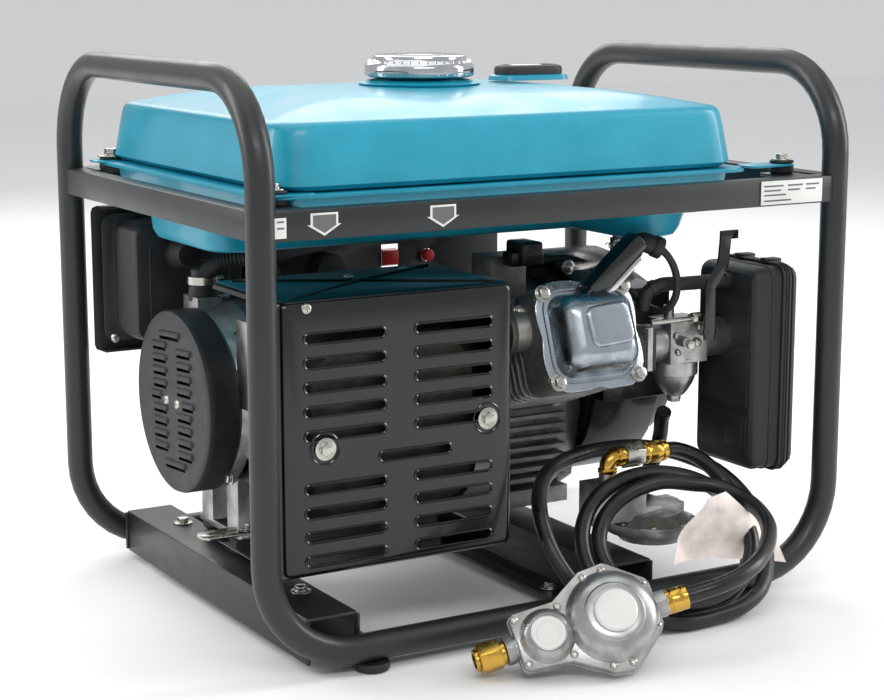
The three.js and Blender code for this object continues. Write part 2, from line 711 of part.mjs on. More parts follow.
function buildCylinder() {
  const tilt = (90 - CYLINDER_TILT) * DEG;
  const cylinder = group(generator, [CYLINDER_X, CRANK_Y, CRANK_Z - CYLINDER_DROP], [tilt, 0, 0]);
  const fins = [];
  const rows = Math.floor((HEAD_TOP - PORT_DROP - 92) / 9);
  for (let i = 0; i < rows; i += 1) {
    const z = 92 + i * 9;
    fins.push(prism(roundedOutline(50, 46, 10, 2), z, z + 3));
  }
  const core = prism(roundedOutline(38, 38, 12, 2), 79, HEAD_TOP - PORT_DROP);
  const head = prism(roundedOutline(50, 47, 10, 2), HEAD_TOP - 34, HEAD_TOP);
  const exhaustPort = rod(19, 'x', -EXHAUST_PORT_REACH, -20, [EXHAUST_PORT_OFFSET, HEAD_TOP - PORT_DROP], 16);
  const intakePort = rod(18, 'x', 20, INTAKE_PORT_REACH, [INTAKE_PORT_OFFSET, HEAD_TOP - PORT_DROP], 16);
  piece(cylinder, 'cylinder_head', join(core, head, ...fins, exhaustPort, intakePort), 'alloy');

  const hw = VALVE_COVER_WIDTH / 2;
  const hh = VALVE_COVER_HEIGHT / 2;
  const z0 = HEAD_TOP + CLEAR;
  const top = z0 + VALVE_COVER_DEPTH;
  const dome = loft([
    [roundedOutline(hw - 13, hh - 12, 16, 3), z0 + 1],
    [roundedOutline(hw - 15, hh - 14, 15, 3), z0 + 9],
    [roundedOutline(hw - 22, hh - 20, 14, 3), top - 8],
    [roundedOutline(hw - 28, hh - 26, 12, 3), top],
  ]);
  const inside = loft([
    [roundedOutline(hw - 15, hh - 14, 14, 3), z0 - 1],
    [roundedOutline(hw - 17, hh - 16, 13, 3), z0 + 9],
    [roundedOutline(hw - 24, hh - 22, 12, 3), top - 9],
    [roundedOutline(hw - 30, hh - 28, 10, 3), top - 2],
  ]);
  const flange = prism(roundedOutline(hw, hh, 12, 3), z0, z0 + 3);
  const waist = [
    rod(30, 'z', z0 - 1, z0 + 5, [0, hh + 22], 24), rod(30, 'z', z0 - 1, z0 + 5, [0, -hh - 22], 24),
  ];
  piece(cylinder, 'valve_cover', cut(join(dome, cut(flange, ...waist)), inside), 'zinc');
}

function buildFlywheelEnd(engine) {
  const x0 = FAN_X0;
  const duct = CRANK_Y - headPort(INTAKE_PORT_OFFSET)[0] - CARB_BACK - DUCT_GAP;
  const wheel = cut(
    join(
      rod(FLYWHEEL_RADIUS, 'x', x0 + 8, x0 + 8 + FLYWHEEL_WIDTH * 0.5, [0, 0], 32),
      rod(FLYWHEEL_RADIUS - 22, 'x', x0 + 8, x0 + 8 + FLYWHEEL_WIDTH, [0, 0], 32),
    ),
    rod(SHAFT_RADIUS + CLEAR, 'x', x0, x0 + 80, [0, 0], 32),
  );
  piece(engine, 'flywheel', wheel, 'iron');

  const housing = (grow, from, to) => join(
    rod(FAN_RADIUS + grow, 'x', from, to, [0, 0], 32),
    slab(from, to, -duct - grow, 0, -20 - grow, 86 + grow),
  );
  const shell = cut(
    housing(0, x0, x0 + FAN_DEPTH),
    housing(-2, x0 - 5, x0 + FAN_DEPTH - 2),
    rod(RECOIL_RADIUS - 14, 'x', x0, x0 + 100, [0, 0], 32),
  );
  piece(engine, 'fan_housing', shell, 'black');

  const r0 = RECOIL_X0;
  const cup = cut(
    rod(RECOIL_RADIUS, 'x', r0, r0 + RECOIL_DEPTH, [0, 0], 32),
    rod(RECOIL_RADIUS - 2, 'x', r0 - 5, r0 + RECOIL_DEPTH - 2, [0, 0], 32),
  );
  const vents = [];
  for (let i = 0; i < 8; i += 1) {
    const slot = slab(r0 + RECOIL_DEPTH - 6, r0 + RECOIL_DEPTH + 4, -5, 5, 44, 68);
    vents.push(slot.rotate([i * 45, 0, 0]));
  }
  const ropeHole = slab(r0 + 12, r0 + 24, RECOIL_RADIUS - 20, RECOIL_RADIUS + 5, 46, 58);
  const peg = rod(7, 'x', r0 + 2, r0 + RECOIL_DEPTH - 1, [0, 0], 20);
  piece(engine, 'recoil_cover', join(cut(cup, ropeHole, ...vents), peg), 'black');
  const sheave = cut(
    join(
      rod(PULLEY_RADIUS + 6, 'x', r0 + 8, r0 + 11, [0, 0], 32),
      rod(PULLEY_RADIUS, 'x', r0 + 10, r0 + 26, [0, 0], 32),
      rod(PULLEY_RADIUS + 6, 'x', r0 + 25, r0 + 28, [0, 0], 32),
    ),
    rod(7.6, 'x', r0, r0 + 40, [0, 0], 20),
  );
  piece(engine, 'recoil_pulley', sheave, 'plastic');

  // The rope leaves the cover rising by this angle from straight back.
  const handle = group(engine, [r0 + 18, RECOIL_RADIUS + 4, 54], [ROPE_RISE * DEG, 0, 0]);
  const grip = join(
    rod(8, 'x', -GRIP_HALF, GRIP_HALF, [16, 0], 16),
    rod(6, 'y', 1, 16, [0, 0], 16),
  );
  piece(handle, 'recoil_handle', grip, 'rubber');
}

// ---------------------------------------------------------------- alternator

function buildAlternator() {
  const alternator = group(generator, [ALTERNATOR_FACE, CRANK_Y, CRANK_Z], [0, -90 * DEG, 0]);
  const z0 = FLANGE_LENGTH + CLEAR;
  const stack = turned([
    [ROTOR_RADIUS + AIR_GAP, z0 + 12], [STATOR_RADIUS, z0], [STATOR_RADIUS, z0 + STATOR_LENGTH],
    [ROTOR_RADIUS + AIR_GAP, z0 + STATOR_LENGTH - 12], [ROTOR_RADIUS + AIR_GAP, z0 + 12],
  ], 32);
  piece(alternator, 'stator', stack, 'iron');

  const b0 = z0 + STATOR_LENGTH + CLEAR;
  const b1 = b0 + END_BRACKET_LENGTH;
  const shell = turned([
    [0, b0], [STATOR_RADIUS + 4, b0], [STATOR_RADIUS + 4, b0 + 12], [END_COVER_RADIUS - 8, b1 - 6],
    [END_COVER_RADIUS - 8, b1], [0, b1],
  ], 32);
  const cavity = turned([
    [0, b0 - 2], [STATOR_RADIUS - 4, b0 - 2], [STATOR_RADIUS - 4, b0 + 10], [END_COVER_RADIUS - 20, b1 - 10], [0, b1 - 10],
  ], 32);
  const windows = [];
  for (let i = 0; i < 4; i += 1) {
    windows.push(slab(56, 100, -16, 16, b0 + 16, b0 + 26).rotate([0, 0, 45 + i * 90]));
  }
  const ears = [];
  for (let i = 0; i < 4; i += 1) {
    ears.push(rod(9, 'z', b0, b0 + 14, [STATOR_RADIUS + 8, 0], 16).rotate([0, 0, 20 + i * 90]));
  }
  const terminal = slab(STATOR_RADIUS - 20, STATOR_RADIUS + 6, 8, 40, b0 + 14, b1 - 2);
  const foot = join(
    slab(-CRANK_Z + PAN_TOP + 14, -60, -40, -16, b0, b0 + 24), slab(-CRANK_Z + PAN_TOP + 14, -60, 16, 40, b0, b0 + 24),
    slab(-CRANK_Z + PAN_TOP + 14, -CRANK_Z + PAN_TOP + 20, -46, 46, b0, b0 + 24),
  );
  const bracket = cut(
    join(shell, terminal, ...ears, foot), cavity, ...windows,
    rod(SHAFT_RADIUS + SHAFT_RUNNING_GAP, 'z', b0 - 5, b1 + 5, [0, 0], 32),
  );
  piece(alternator, 'end_bracket', bracket, 'alloy');

  const c0 = b1 + CLEAR;
  const c1 = c0 + END_COVER_LENGTH;
  const cover = turned([
    [0, c1], [END_COVER_RADIUS - 5, c1], [END_COVER_RADIUS, c1 - 5], [END_COVER_RADIUS, c0],
    [END_COVER_RADIUS - 2, c0], [END_COVER_RADIUS - 2, c1 - 5.5], [END_COVER_RADIUS - 5.5, c1 - 2], [0, c1 - 2],
  ], 40);
  piece(alternator, 'end_cover', cover, 'plastic');

  const shaftEnd = b1 + 8;
  const rotor = join(
    rod(SHAFT_RADIUS, 'z', -(RECOIL_X0 - ALTERNATOR_FACE) + 6, shaftEnd, [0, 0], 24),
    rod(ROTOR_RADIUS, 'z', z0 + 10, z0 + STATOR_LENGTH - 10, [0, 0], 32),
  );
  piece(alternator, 'rotor_shaft', rotor, 'copper');
  return b0;
}

function buildMounts() {
  const mount = (height) => turned([
    [0, 0], [15, 0], [15, 3], [11, height / 2], [15, height - 3], [15, height], [0, height],
  ], 16);
  let number = 1;
  const footX = ALTERNATOR_FACE - (FLANGE_LENGTH + CLEAR + STATOR_LENGTH + CLEAR) - 12;
  for (const y of [CRANK_Y - 30, CRANK_Y + 30]) {
    const height = 14 - 2 * CLEAR;
    piece(generator, `alternator_mount_${number}`, mount(height), 'rubber', [footX, y, PAN_TOP + CLEAR]);
    number += 1;
  }
}

// ---------------------------------------------------------------- exhaust

// Local X to the right, local Y up, local Z towards the viewer of the exhaust side.
function buildExhaust() {
  const width = MUFFLER_X1 - MUFFLER_X0;
  const height = MUFFLER_Z1 - MUFFLER_Z0;
  const exhaust = group(
    generator, [(MUFFLER_X0 + MUFFLER_X1) / 2, MUFFLER_Y, (MUFFLER_Z0 + MUFFLER_Z1) / 2], [90 * DEG, 0, 0]);
  const hx = width / 2;
  const hy = height / 2;
  const shell = loft([
    [roundedOutline(hx, hy, 12, 3), -MUFFLER_DEPTH], [roundedOutline(hx, hy, 12, 3), -7],
    [roundedOutline(hx - 2, hy - 2, 11, 3), -2], [roundedOutline(hx - 7, hy - 7, 8, 3), 0],
  ]);
  const inner = loft([
    [roundedOutline(hx - MUFFLER_SHEET, hy - MUFFLER_SHEET, 10, 3), -MUFFLER_DEPTH - 5],
    [roundedOutline(hx - MUFFLER_SHEET, hy - MUFFLER_SHEET, 10, 3), -7 - MUFFLER_SHEET],
    [roundedOutline(hx - 8, hy - 8, 7, 3), -MUFFLER_SHEET],
  ]);
  const slots = [];
  const slot = (x, y, length) => prism(roundedOutline(length / 2, SLOT_HEIGHT / 2, SLOT_HEIGHT / 2 - 0.01, 2, x, y), -5, 5);
  for (const side of [-1, 1]) {
    for (let row = 0; row < 5; row += 1) slots.push(slot(side * SLOT_OFFSET, hy - 32 - row * SLOT_PITCH, SLOT_LENGTH));
    for (let row = 0; row < 4; row += 1) slots.push(slot(side * SLOT_OFFSET, 14 - hy + row * SLOT_PITCH, SLOT_LENGTH));
  }
  slots.push(slot(14, -21, SLOT_LENGTH - 8));
  const flangeX = CYLINDER_X - EXHAUST_PORT_REACH - (MUFFLER_X0 + MUFFLER_X1) / 2 - CLEAR;
  const portY = headPort(EXHAUST_PORT_OFFSET);
  const elbowZ = -(portY[0] - MUFFLER_Y);
  const elbowY = portY[1] - (MUFFLER_Z0 + MUFFLER_Z1) / 2;
  const canBack = elbowZ - 18;
  const can = loft([
    [roundedOutline(hx - 34, hy - 46, 30, 3), canBack], [roundedOutline(hx - 24, hy - 36, 34, 3), canBack + 10],
    [roundedOutline(hx - 24, hy - 36, 34, 3), -22], [roundedOutline(hx - 34, hy - 46, 30, 3), -12],
  ]);
  const window = rod(24, 'x', hx - 10, hx + 10, [elbowY, elbowZ], 24);
  piece(exhaust, 'muffler_cover', cut(shell, inner, ...slots, window), 'black');
  const elbow = join(
    rod(15, 'x', hx - 40, flangeX, [elbowY, elbowZ], 20),
    rod(23, 'x', flangeX - 6, flangeX, [elbowY, elbowZ], 16),
  );
  piece(exhaust, 'muffler_body', join(can, elbow), 'iron');
}

// Where a port at this height above the cylinder's axis comes out, as [y, z].
function headPort(offset) {
  const reach = HEAD_TOP - PORT_DROP;
  const tilt = CYLINDER_TILT * DEG;
  const y = CRANK_Y - reach * Math.cos(tilt) + offset * Math.sin(tilt);
  const z = CRANK_Z - CYLINDER_DROP + reach * Math.sin(tilt) + offset * Math.cos(tilt);
  return [y, z];
}

// ---------------------------------------------------------------- intake

function buildIntake() {
  const [portY, portZ] = headPort(INTAKE_PORT_OFFSET);
  const x0 = CYLINDER_X + INTAKE_PORT_REACH + CLEAR;
  const x1 = AIR_BOX_X0 - CLEAR;
  const pivot = [CARB_X + 16, portZ + 12];
  const carb = join(
    rod(6, 'y', portY - CHOKE_REACH, portY, pivot, 12),
    rod(THROAT_RADIUS + 7, 'x', x0, x1, [portY, portZ], 20),
    slab(x0, x0 + 8, portY - 26, portY + 26, portZ - 20, portZ + 20),
    slab(CARB_X - 20, CARB_X + 22, portY - 20, portY + CARB_BACK, portZ - 18, portZ + 22),
    turned([
      [0, -54], [6, -54], [6, -48], [BOWL_RADIUS - 9, -46], [BOWL_RADIUS - 2, -36], [BOWL_RADIUS, -28],
      [BOWL_RADIUS + 2, -28], [BOWL_RADIUS + 2, -15], [0, -15],
    ], 20).translate([CARB_X, portY, portZ]),
    rod(5, 'y', portY - 32, portY, [CARB_X - 10, portZ + 4], 12),
    rod(5, 'z', portZ + 10, portZ + 34, [CARB_X - 8, portY], 12),
    rod(6, 'y', portY + 10, portY + 27, [CARB_X - 2, portZ - 2], 12),
  );
  const throat = rod(THROAT_RADIUS, 'x', x0 - 2, x1 + 2, [portY, portZ], 20);
  piece(generator, 'carburettor', cut(carb, throat), 'alloy');

  const leverY = portY - CHOKE_REACH - CLEAR;
  const arm = bentRoute([
    [pivot[0], leverY - 2, pivot[1] - 6], [pivot[0], leverY - 2, pivot[1] + 42],
    [pivot[0] + 14, leverY - 2, pivot[1] + 62], [pivot[0] + 16, leverY - 2, pivot[1] + 86],
  ], 10, 2);
  const lever = join(
    sweepFlat(arm, leverY - 2),
    slab(pivot[0] + 10, pivot[0] + 30, leverY - 3.2, leverY - 0.8, pivot[1] + 84, pivot[1] + 92),
    rod(7, 'y', leverY - 3.2, leverY - 0.2, [pivot[0], pivot[1]], 16),
  );
  piece(generator, 'choke_lever', lever, 'black');

  buildAirBox(portY, portZ);
}

// A flat strip that keeps its face square to Y while it follows a route in an XZ plane.
function sweepFlat(stations, y) {
  const strips = [];
  for (let i = 0; i < stations.length - 1; i += 1) {
    const [ax, , az] = stations[i];
    const [bx, , bz] = stations[i + 1];
    const length = Math.hypot(bx - ax, bz - az);
    const angle = Math.atan2(bx - ax, bz - az) / DEG;
    const strip = slab(-6, 6, -1.2, 1.2, -2, length + 2);
    strips.push(strip.rotate([0, angle, 0]).translate([ax, y, az]));
  }
  return join(...strips);
}

function buildAirBox(portY, portZ) {
  const seam = AIR_BOX_X0 + AIR_BOX_DEPTH - AIR_BOX_LID;
  const end = AIR_BOX_X0 + AIR_BOX_DEPTH;
  const hy = (AIR_BOX_Y1 - AIR_BOX_Y0) / 2;
  const hz = (AIR_BOX_Z1 - AIR_BOX_Z0) / 2;
  const depth = AIR_BOX_DEPTH;
  // Local X runs down, local Y along Y and local Z along +X, then the box is turned upright.
  const box = group(
    generator, [AIR_BOX_X0, (AIR_BOX_Y0 + AIR_BOX_Y1) / 2, (AIR_BOX_Z0 + AIR_BOX_Z1) / 2], [0, 90 * DEG, 0]);
  const ring = (inset, radius, z) => [roundedOutline(hz - inset, hy - inset, radius, 3), z];
  const outer = loft([ring(6, 8, 0), ring(2, 10, 3), ring(0, 11, 8), ring(0, 11, depth - AIR_BOX_LID - CLEAR)]);
  const hollow = loft([
    ring(6 + AIR_BOX_WALL, 6, AIR_BOX_WALL), ring(AIR_BOX_WALL, 8, 9), ring(AIR_BOX_WALL, 8, depth),
  ]);
  const lip = cut(
    prism(roundedOutline(hz + 2, hy + 2, 12, 3), depth - AIR_BOX_LID - 4, depth - AIR_BOX_LID - CLEAR),
    prism(roundedOutline(hz - 3, hy - 3, 8, 3), 0, depth),
  );
  const mouthX = (AIR_BOX_Z0 + AIR_BOX_Z1) / 2 - portZ;
  const mouth = rod(THROAT_RADIUS, 'z', -5, 10, [mouthX, portY - (AIR_BOX_Y0 + AIR_BOX_Y1) / 2], 20);
  piece(box, 'air_box_base', cut(join(outer, lip), hollow, mouth), 'plastic');

  const lid = loft([
    ring(-2, 12, depth - AIR_BOX_LID), ring(-2, 12, depth - AIR_BOX_LID + 4), ring(0, 11, depth - AIR_BOX_LID + 4.1),
    ring(0, 11, depth - 6), ring(2, 10, depth - 2), ring(7, 7, depth),
  ]);
  const lidInside = loft([
    ring(AIR_BOX_WALL, 8, depth - AIR_BOX_LID - 5), ring(AIR_BOX_WALL, 8, depth - 7), ring(8, 6, depth - AIR_BOX_WALL),
  ]);
  const latches = [-22, 16].map((y) => slab(-hz - 4, -hz + 4, y, y + 12, depth - AIR_BOX_LID, depth - 4));
  piece(box, 'air_box_lid', join(cut(lid, lidInside), ...latches.map((l) => cut(l, lidInside))), 'plastic');

  const element = prism(roundedOutline(hz - 8, hy - 8, 10, 2), 12, depth - 6);
  piece(box, 'air_filter', element, 'filter');

  const hose = smoothRoute([
    [134, -128, 262], [136, -130, 276], [148, -134, 284], [172, -137, 284], [200, -139, 284],
    [216, -140, 284], [AIR_BOX_X0 - 2 * CLEAR, -140, 284],
  ], 12);
  piece(generator, 'breather_hose', pipe(hose, 6.5, 10), 'rubber');
}

// ---------------------------------------------------------------- ignition

function buildIgnition() {
  const lead = smoothRoute([
    [122, -151, 326], [138, -153, 318], [150, -152, 304], [156, -150, 288], [155, -149, 274], [151, -144, 264],
    [148, -130, 260], [147, -112, 264], [138, -96, 277], [120, -80, 292], [98, -62, 303], [76, -50, 302],
  ], 12);
  const boot = bentRoute([[106, -138, 304], [114, -147, 330], [132, -153, 322]], 8, 2);
  const plugLead = join(pipe(boot, 9, 12), pipe(lead, 3.6, 8));
  piece(generator, 'plug_lead', plugLead, 'rubber');
}

// ---------------------------------------------------------------- control panel

function buildPanel() {
  const hx = (PANEL_X1 - PANEL_X0) / 2;
  const hz = PANEL_HEIGHT / 2;
  const panelGroup = group(
    generator, [(PANEL_X0 + PANEL_X1) / 2, PANEL_Y, (PANEL_TOP + PANEL_BOTTOM) / 2], [-90 * DEG, 0, 0]);
  // In this group +X runs along the generator, +Y runs down and +Z points out of the back.
  const sheet = prism(roundedOutline(hx, hz, 6, 2), -PANEL_SHEET, 0);
  const fold = (x0, x1, y0, y1) => slab(x0, x1, y0, y1, -14, -0.5);
  const folds = [
    fold(-hx + 6, hx - 6, -hz, -hz + PANEL_SHEET), fold(-hx + 6, hx - 6, hz - PANEL_SHEET, hz),
  ];
  const holes = [
    slab(86, 106, -12, 16, -10, 5),
    rod(7, 'z', -10, 5, [140, 2], 16),
  ];
  const half = SOCKET_SIZE / 2;
  const drop = SOCKET_DROP;
  const sockets = SOCKET_PLACES.map((x) => join(
    prism(roundedOutline(half, half, 6, 2, x, drop), -1, SOCKET_REACH), rod(18, 'z', -30, 2, [x, drop], 24)));
  const wells = SOCKET_PLACES.map((x) => rod(14, 'z', -24, SOCKET_REACH + 4, [x, drop], 24));
  piece(panelGroup, 'control_panel', cut(join(cut(join(sheet, ...folds), ...holes), ...sockets), ...wells), 'plastic');

  let number = 1;
  for (const x of SOCKET_PLACES) {
    const top = drop - half;
    const flap = join(
      prism(roundedOutline(half - 2, half - 2, 6, 2, x, drop), SOCKET_REACH + CLEAR, SOCKET_REACH + 5),
      rod(3, 'x', x - 20, x + 20, [top - 3.5, SOCKET_REACH + 2], 12),
      slab(x - 16, x + 16, top - 3.5, top + 4, SOCKET_REACH + CLEAR, SOCKET_REACH + 4),
    );
    piece(panelGroup, `socket_flap_${number}`, flap, 'plastic');
    number += 1;
  }

  const rocker = prism([[-9, 0], [-9, 3], [0, 1.5], [9, 4.5], [9, 0], [7, -6], [-7, -6]], -9, 9);
  const turnedRocker = rocker.rotate([90, 0, 90]).translate([96, 2, 1]);
  piece(panelGroup, 'engine_switch', turnedRocker, 'red');
  const button = join(rod(6.2, 'z', -8, 9, [140, 2], 16), rod(8.5, 'z', 6, 9, [140, 2], 16));
  piece(panelGroup, 'breaker_button', button, 'red');

  const boxHx = 56;
  const boxHz = 55;
  const cx = -hx + 17 + boxHx;
  const housing = (grow, z0, z1) => loft([
    [roundedOutline(boxHx - 3 + grow, boxHz - 3 + grow, 9, 3, cx, -2), z0],
    [roundedOutline(boxHx + grow, boxHz + grow, 12, 3, cx, -2), z0 + 8],
    [roundedOutline(boxHx + grow, boxHz + grow, 12, 3, cx, -2), z1],
  ]);
  const rear = -PANEL_SHEET - CLEAR;
  const depth = CONTROL_BOX_DEPTH;
  const flange = prism(roundedOutline(boxHx + 12, boxHz + 6, 10, 2, cx, -2), -16, -14 - CLEAR);
  const box = cut(
    join(housing(0, rear - depth, -14 - CLEAR), flange),
    housing(-2.5, rear - depth + 2.5, 5),
  );
  piece(panelGroup, 'control_box', box, 'plastic');
}

// ---------------------------------------------------------------- wiring conduit

function buildConduit(bracketZ) {
  const x = ALTERNATOR_FACE - bracketZ - 26;
  const y = CRANK_Y + 24;
  const z = CRANK_Z + STATOR_RADIUS + 7;
  const boxFace = PANEL_Y - PANEL_SHEET - CONTROL_BOX_DEPTH - 3 * CLEAR;
  // It rises from the bracket to just under the tank, then falls a little to the box.
  const rise = TANK_FLOOR_Z - CONDUIT_RADIUS - 4 - z;
  const up = (share) => z + share * rise;
  const route = smoothRoute([
    [x, y, z], [x, y, up(0.22)], [x, y - 8, up(0.54)], [x + 6, y - 28, up(0.86)], [x + 22, y - 42, up(1)],
    [x + 44, y - 34, up(1)], [x + 56, y - 4, up(0.92)], [x + 48, y + 30, up(0.84)], [x + 26, y + 50, up(0.81)],
    [x + 8, boxFace - 7, up(0.81)], [x + 8, boxFace, up(0.81)],
  ], 12);
  piece(generator, 'wiring_conduit', pipe(route, CONDUIT_RADIUS, 10), 'rubber');
}

// ---------------------------------------------------------------- gas supply kit

function buildGasRegulator() {
  const gas = group(generator, [GAS_X, GAS_Y, 0]);
  const body = turned([
    [0, 52], [30, 52], [34, 58], [42, 60], [42, 70], [36, 72], [28, 78], [0, 80],
  ], 28);
  const tower = slab(-72, -14, -11, 13, 74, 112);
  const post = slab(-34, 30, -10, 12, 70, 84);
  const collar = rod(8, 'z', 110, 119, [-50, 0], 16);
  const outlet = join(rod(9, 'y', 34, 50, [34, 68], 16), slab(18, 46, 20, 38, 58, 78));
  piece(gas, 'demand_regulator', join(body, tower, post, collar, outlet), 'alloy');

  const feed = smoothRoute([
    [34, 50.6, 68], [34, 60, 68], [38, 66, 82], [46, 58, 110], [46, 50, 134], [40, 40, 152], [38, 34, 160],
  ], 14);
  piece(gas, 'gas_feed_hose', pipe(feed, HOSE_OD / 2, HOSE_SIDES), 'rubber');
}

// The loose end of the gas hose, from the coupling round the back of it to the coil.
const HOSE_LEAD = [
  [144.6, -150, 133], [156, -150, 132.6], [182, -154, 122], [200, -166, 102], [206, -186, 76],
  [201, -206, 53], [185, -224, 32], [160, -233, 14], [130, -233, 7.8], [90, -232, 7.8],
  [52, -231, 11.5], [18, -230, 27], [-4, -222, 49], [-14, -205, 74], [-12, -184, 98], [4, -158, 116],
  [32, -134, 126], [70, -118, 130], [112, -110, 130], [152, -112, 127], [186, -124, 118],
  [211, -146, 104], [223, -172, 84], [220, -201, 60], [204, -230, 38], [181, -250, 21],
  [152, -259, 11], [120, -261, 8],
];

// The end that reaches the gas cylinder's regulator, from the coil's top to the ferrule.
const HOSE_TAIL = [
  [139, -201, 113], [160, -213, 110], [171, -234, 103], [170, -260, 96], [159, -285, 89],
  [138, -308, 81.5], [113, -326, 75.5], [87, -335, 69.5], [62, -334.3, 63.8], [49.6, -330.6, 60.8],
  [38, -327.25, 58.2],
];

// The coil leans back on the rail; its wall holds two turns side by side.
const COIL = {
  bottom: [90, -261.5, 9.6], lean: 40, turn: 12, halfWidth: 78, halfHeight: 72, wall: 23, front: 21, back: HOSE_OD / 2,
};

function buildCoil() {
  const lift = COIL.lean * DEG;
  const up = new THREE.Vector3(0, Math.sin(lift), Math.cos(lift)).applyAxisAngle(new THREE.Vector3(0, 0, 1), -COIL.turn * DEG);
  const centre = new THREE.Vector3(...COIL.bottom).addScaledVector(up, COIL.halfHeight);
  const section = (grow) => {
    const inner = COIL.halfWidth - COIL.wall - grow;
    const outer = COIL.halfWidth + HOSE_OD / 2 + grow;
    const back = -COIL.back - grow;
    const front = COIL.front + grow;
    return [
      [inner + 5, back], [outer - 5, back], [outer, back + 5], [outer, front - 6], [outer - 6, front],
      [inner + 6, front], [inner, front - 6], [inner, back + 5], [inner + 5, back],
    ];
  };
  const squash = COIL.halfHeight / COIL.halfWidth;
  const ring = (grow) => turned(section(grow), 28).scale([1, squash, 1]);
  const place = { position: centre.toArray(), rotation: [(90 - COIL.lean) * DEG, 0, -COIL.turn * DEG] };
  return { ring, place };
}

// Turns a solid in the coil's own frame into the generator's frame.
function inWorld(solid, place) {
  const [rx, ry, rz] = place.rotation.map((angle) => angle / DEG);
  return solid.rotate([rx, ry, 0]).rotate([0, 0, rz]).translate(place.position);
}

function buildGasKit() {
  const elbowX = GAS_X - 50;
  const coupling = join(
    rod(8, 'z', 119 + CLEAR, 136, [elbowX, GAS_Y], 16),
    rod(8, 'x', elbowX, elbowX + 17, [GAS_Y, 133], 16),
    rod(12, 'x', elbowX + 16, elbowX + 36, [GAS_Y, 133], 6),
    rod(10, 'x', elbowX + 35, HOSE_LEAD[0][0] - CLEAR, [GAS_Y, 133], 20),
  );
  piece(generator, 'hose_coupling', coupling, 'brass');

  const { ring, place } = buildCoil();
  const coil = group(generator, place.position, place.rotation, 'ZXY');
  piece(coil, 'hose_coil', ring(0), 'rubber');
  const keepOut = inWorld(ring(CLEAR), place);
  const lead = cut(pipe(smoothRoute(HOSE_LEAD, 32), HOSE_OD / 2, HOSE_SIDES), keepOut);
  piece(generator, 'hose_lead', largest(lead), 'rubber');
  const tail = cut(pipe(smoothRoute(HOSE_TAIL, 28), HOSE_OD / 2, HOSE_SIDES), keepOut);
  piece(generator, 'hose_tail', largest(tail), 'rubber');

  const stand = group(generator, [-24.5, -309.1, 44], [55 * DEG, 0, -25 * DEG], 'ZXY');
  const regulator = group(stand, [0, 0, 0], [0, 0, 15 * DEG]);
  const plate = prism([
    [-84, -22], [-84, 24], [-42, 25], [-12, 45], [6, 46], [38, 21], [38, -19], [4, -46], [-12, -44], [-42, -25],
  ], -7, 7);
  const dome = turned([[0, 5], [38, 5], [36, 12], [26, 20], [18, 21], [17, 27], [0, 28]], 32);
  const smallDome = turned([[0, 5], [22, 5], [20, 12], [12, 17], [0, 17]], 24).translate([-57, 0, 0]);
  const back = turned([[0, -5], [27, -5], [27, -20], [20, -24], [0, -24]], 28);
  const spine = rod(11, 'x', -92, 38, [0, -5], 16);
  const outlet = join(rod(12, 'x', 37, 48, [0, 0], 6), rod(10.5, 'x', 46, 66, [0, 0], 20));
  piece(regulator, 'gas_regulator', join(plate, dome, smallDome, back, spine, outlet), 'alloy');
  const nut = join(rod(13, 'x', -116, -92 - CLEAR, [0, -5], 6), rod(9, 'x', -121, -115, [0, -5], 16));
  piece(regulator, 'inlet_nut', nut, 'brass');
}

function largest(solid) {
  const bodies = solid.decompose();
  return bodies.reduce((best, next) => (next.volume() > best.volume() ? next : best));
}

function build() {
  buildFrame();
  buildTank();
  buildEngine();
  const bracketZ = buildAlternator();
  buildMounts();
  buildExhaust();
  buildIntake();
  buildIgnition();
  buildPanel();
  buildConduit(bracketZ);
  buildGasRegulator();
  buildGasKit();
}

build();

export default generator;
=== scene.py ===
import json
import math

import bmesh
import bpy
from mathutils import Euler, Matrix, Vector

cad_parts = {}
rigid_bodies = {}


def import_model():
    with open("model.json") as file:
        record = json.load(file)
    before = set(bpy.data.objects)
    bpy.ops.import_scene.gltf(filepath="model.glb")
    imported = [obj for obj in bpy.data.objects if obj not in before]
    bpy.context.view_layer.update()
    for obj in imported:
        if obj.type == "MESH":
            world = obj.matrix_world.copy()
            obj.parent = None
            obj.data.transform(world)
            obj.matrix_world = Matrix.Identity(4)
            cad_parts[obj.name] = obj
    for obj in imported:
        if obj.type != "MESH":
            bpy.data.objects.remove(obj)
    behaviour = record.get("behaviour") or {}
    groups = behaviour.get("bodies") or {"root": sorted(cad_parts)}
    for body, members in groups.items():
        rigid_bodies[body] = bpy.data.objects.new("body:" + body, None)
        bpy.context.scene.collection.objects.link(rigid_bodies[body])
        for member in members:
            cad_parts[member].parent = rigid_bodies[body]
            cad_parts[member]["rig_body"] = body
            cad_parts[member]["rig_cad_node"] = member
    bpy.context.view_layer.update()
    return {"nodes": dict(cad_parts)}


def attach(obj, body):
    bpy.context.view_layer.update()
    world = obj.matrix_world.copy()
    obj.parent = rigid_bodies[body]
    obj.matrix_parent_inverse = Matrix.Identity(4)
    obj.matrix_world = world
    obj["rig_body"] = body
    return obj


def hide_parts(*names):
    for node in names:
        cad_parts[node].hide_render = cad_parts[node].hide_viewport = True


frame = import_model()

MM = 0.001

# ---------------------------------------------------------------- camera

camera_data = bpy.data.cameras.new("camera")
camera_data.lens = 81.6
camera_data.sensor_width = 36
camera_data.clip_start = 0.05
camera = bpy.data.objects.new("camera", camera_data)
camera.location = (-0.9422, -1.5966, 0.5643)
camera.rotation_euler = (math.radians(90 - 10.64), 0, math.radians(-30.44))
bpy.context.scene.collection.objects.link(camera)
bpy.context.scene.camera = camera

# ---------------------------------------------------------------- shader maths


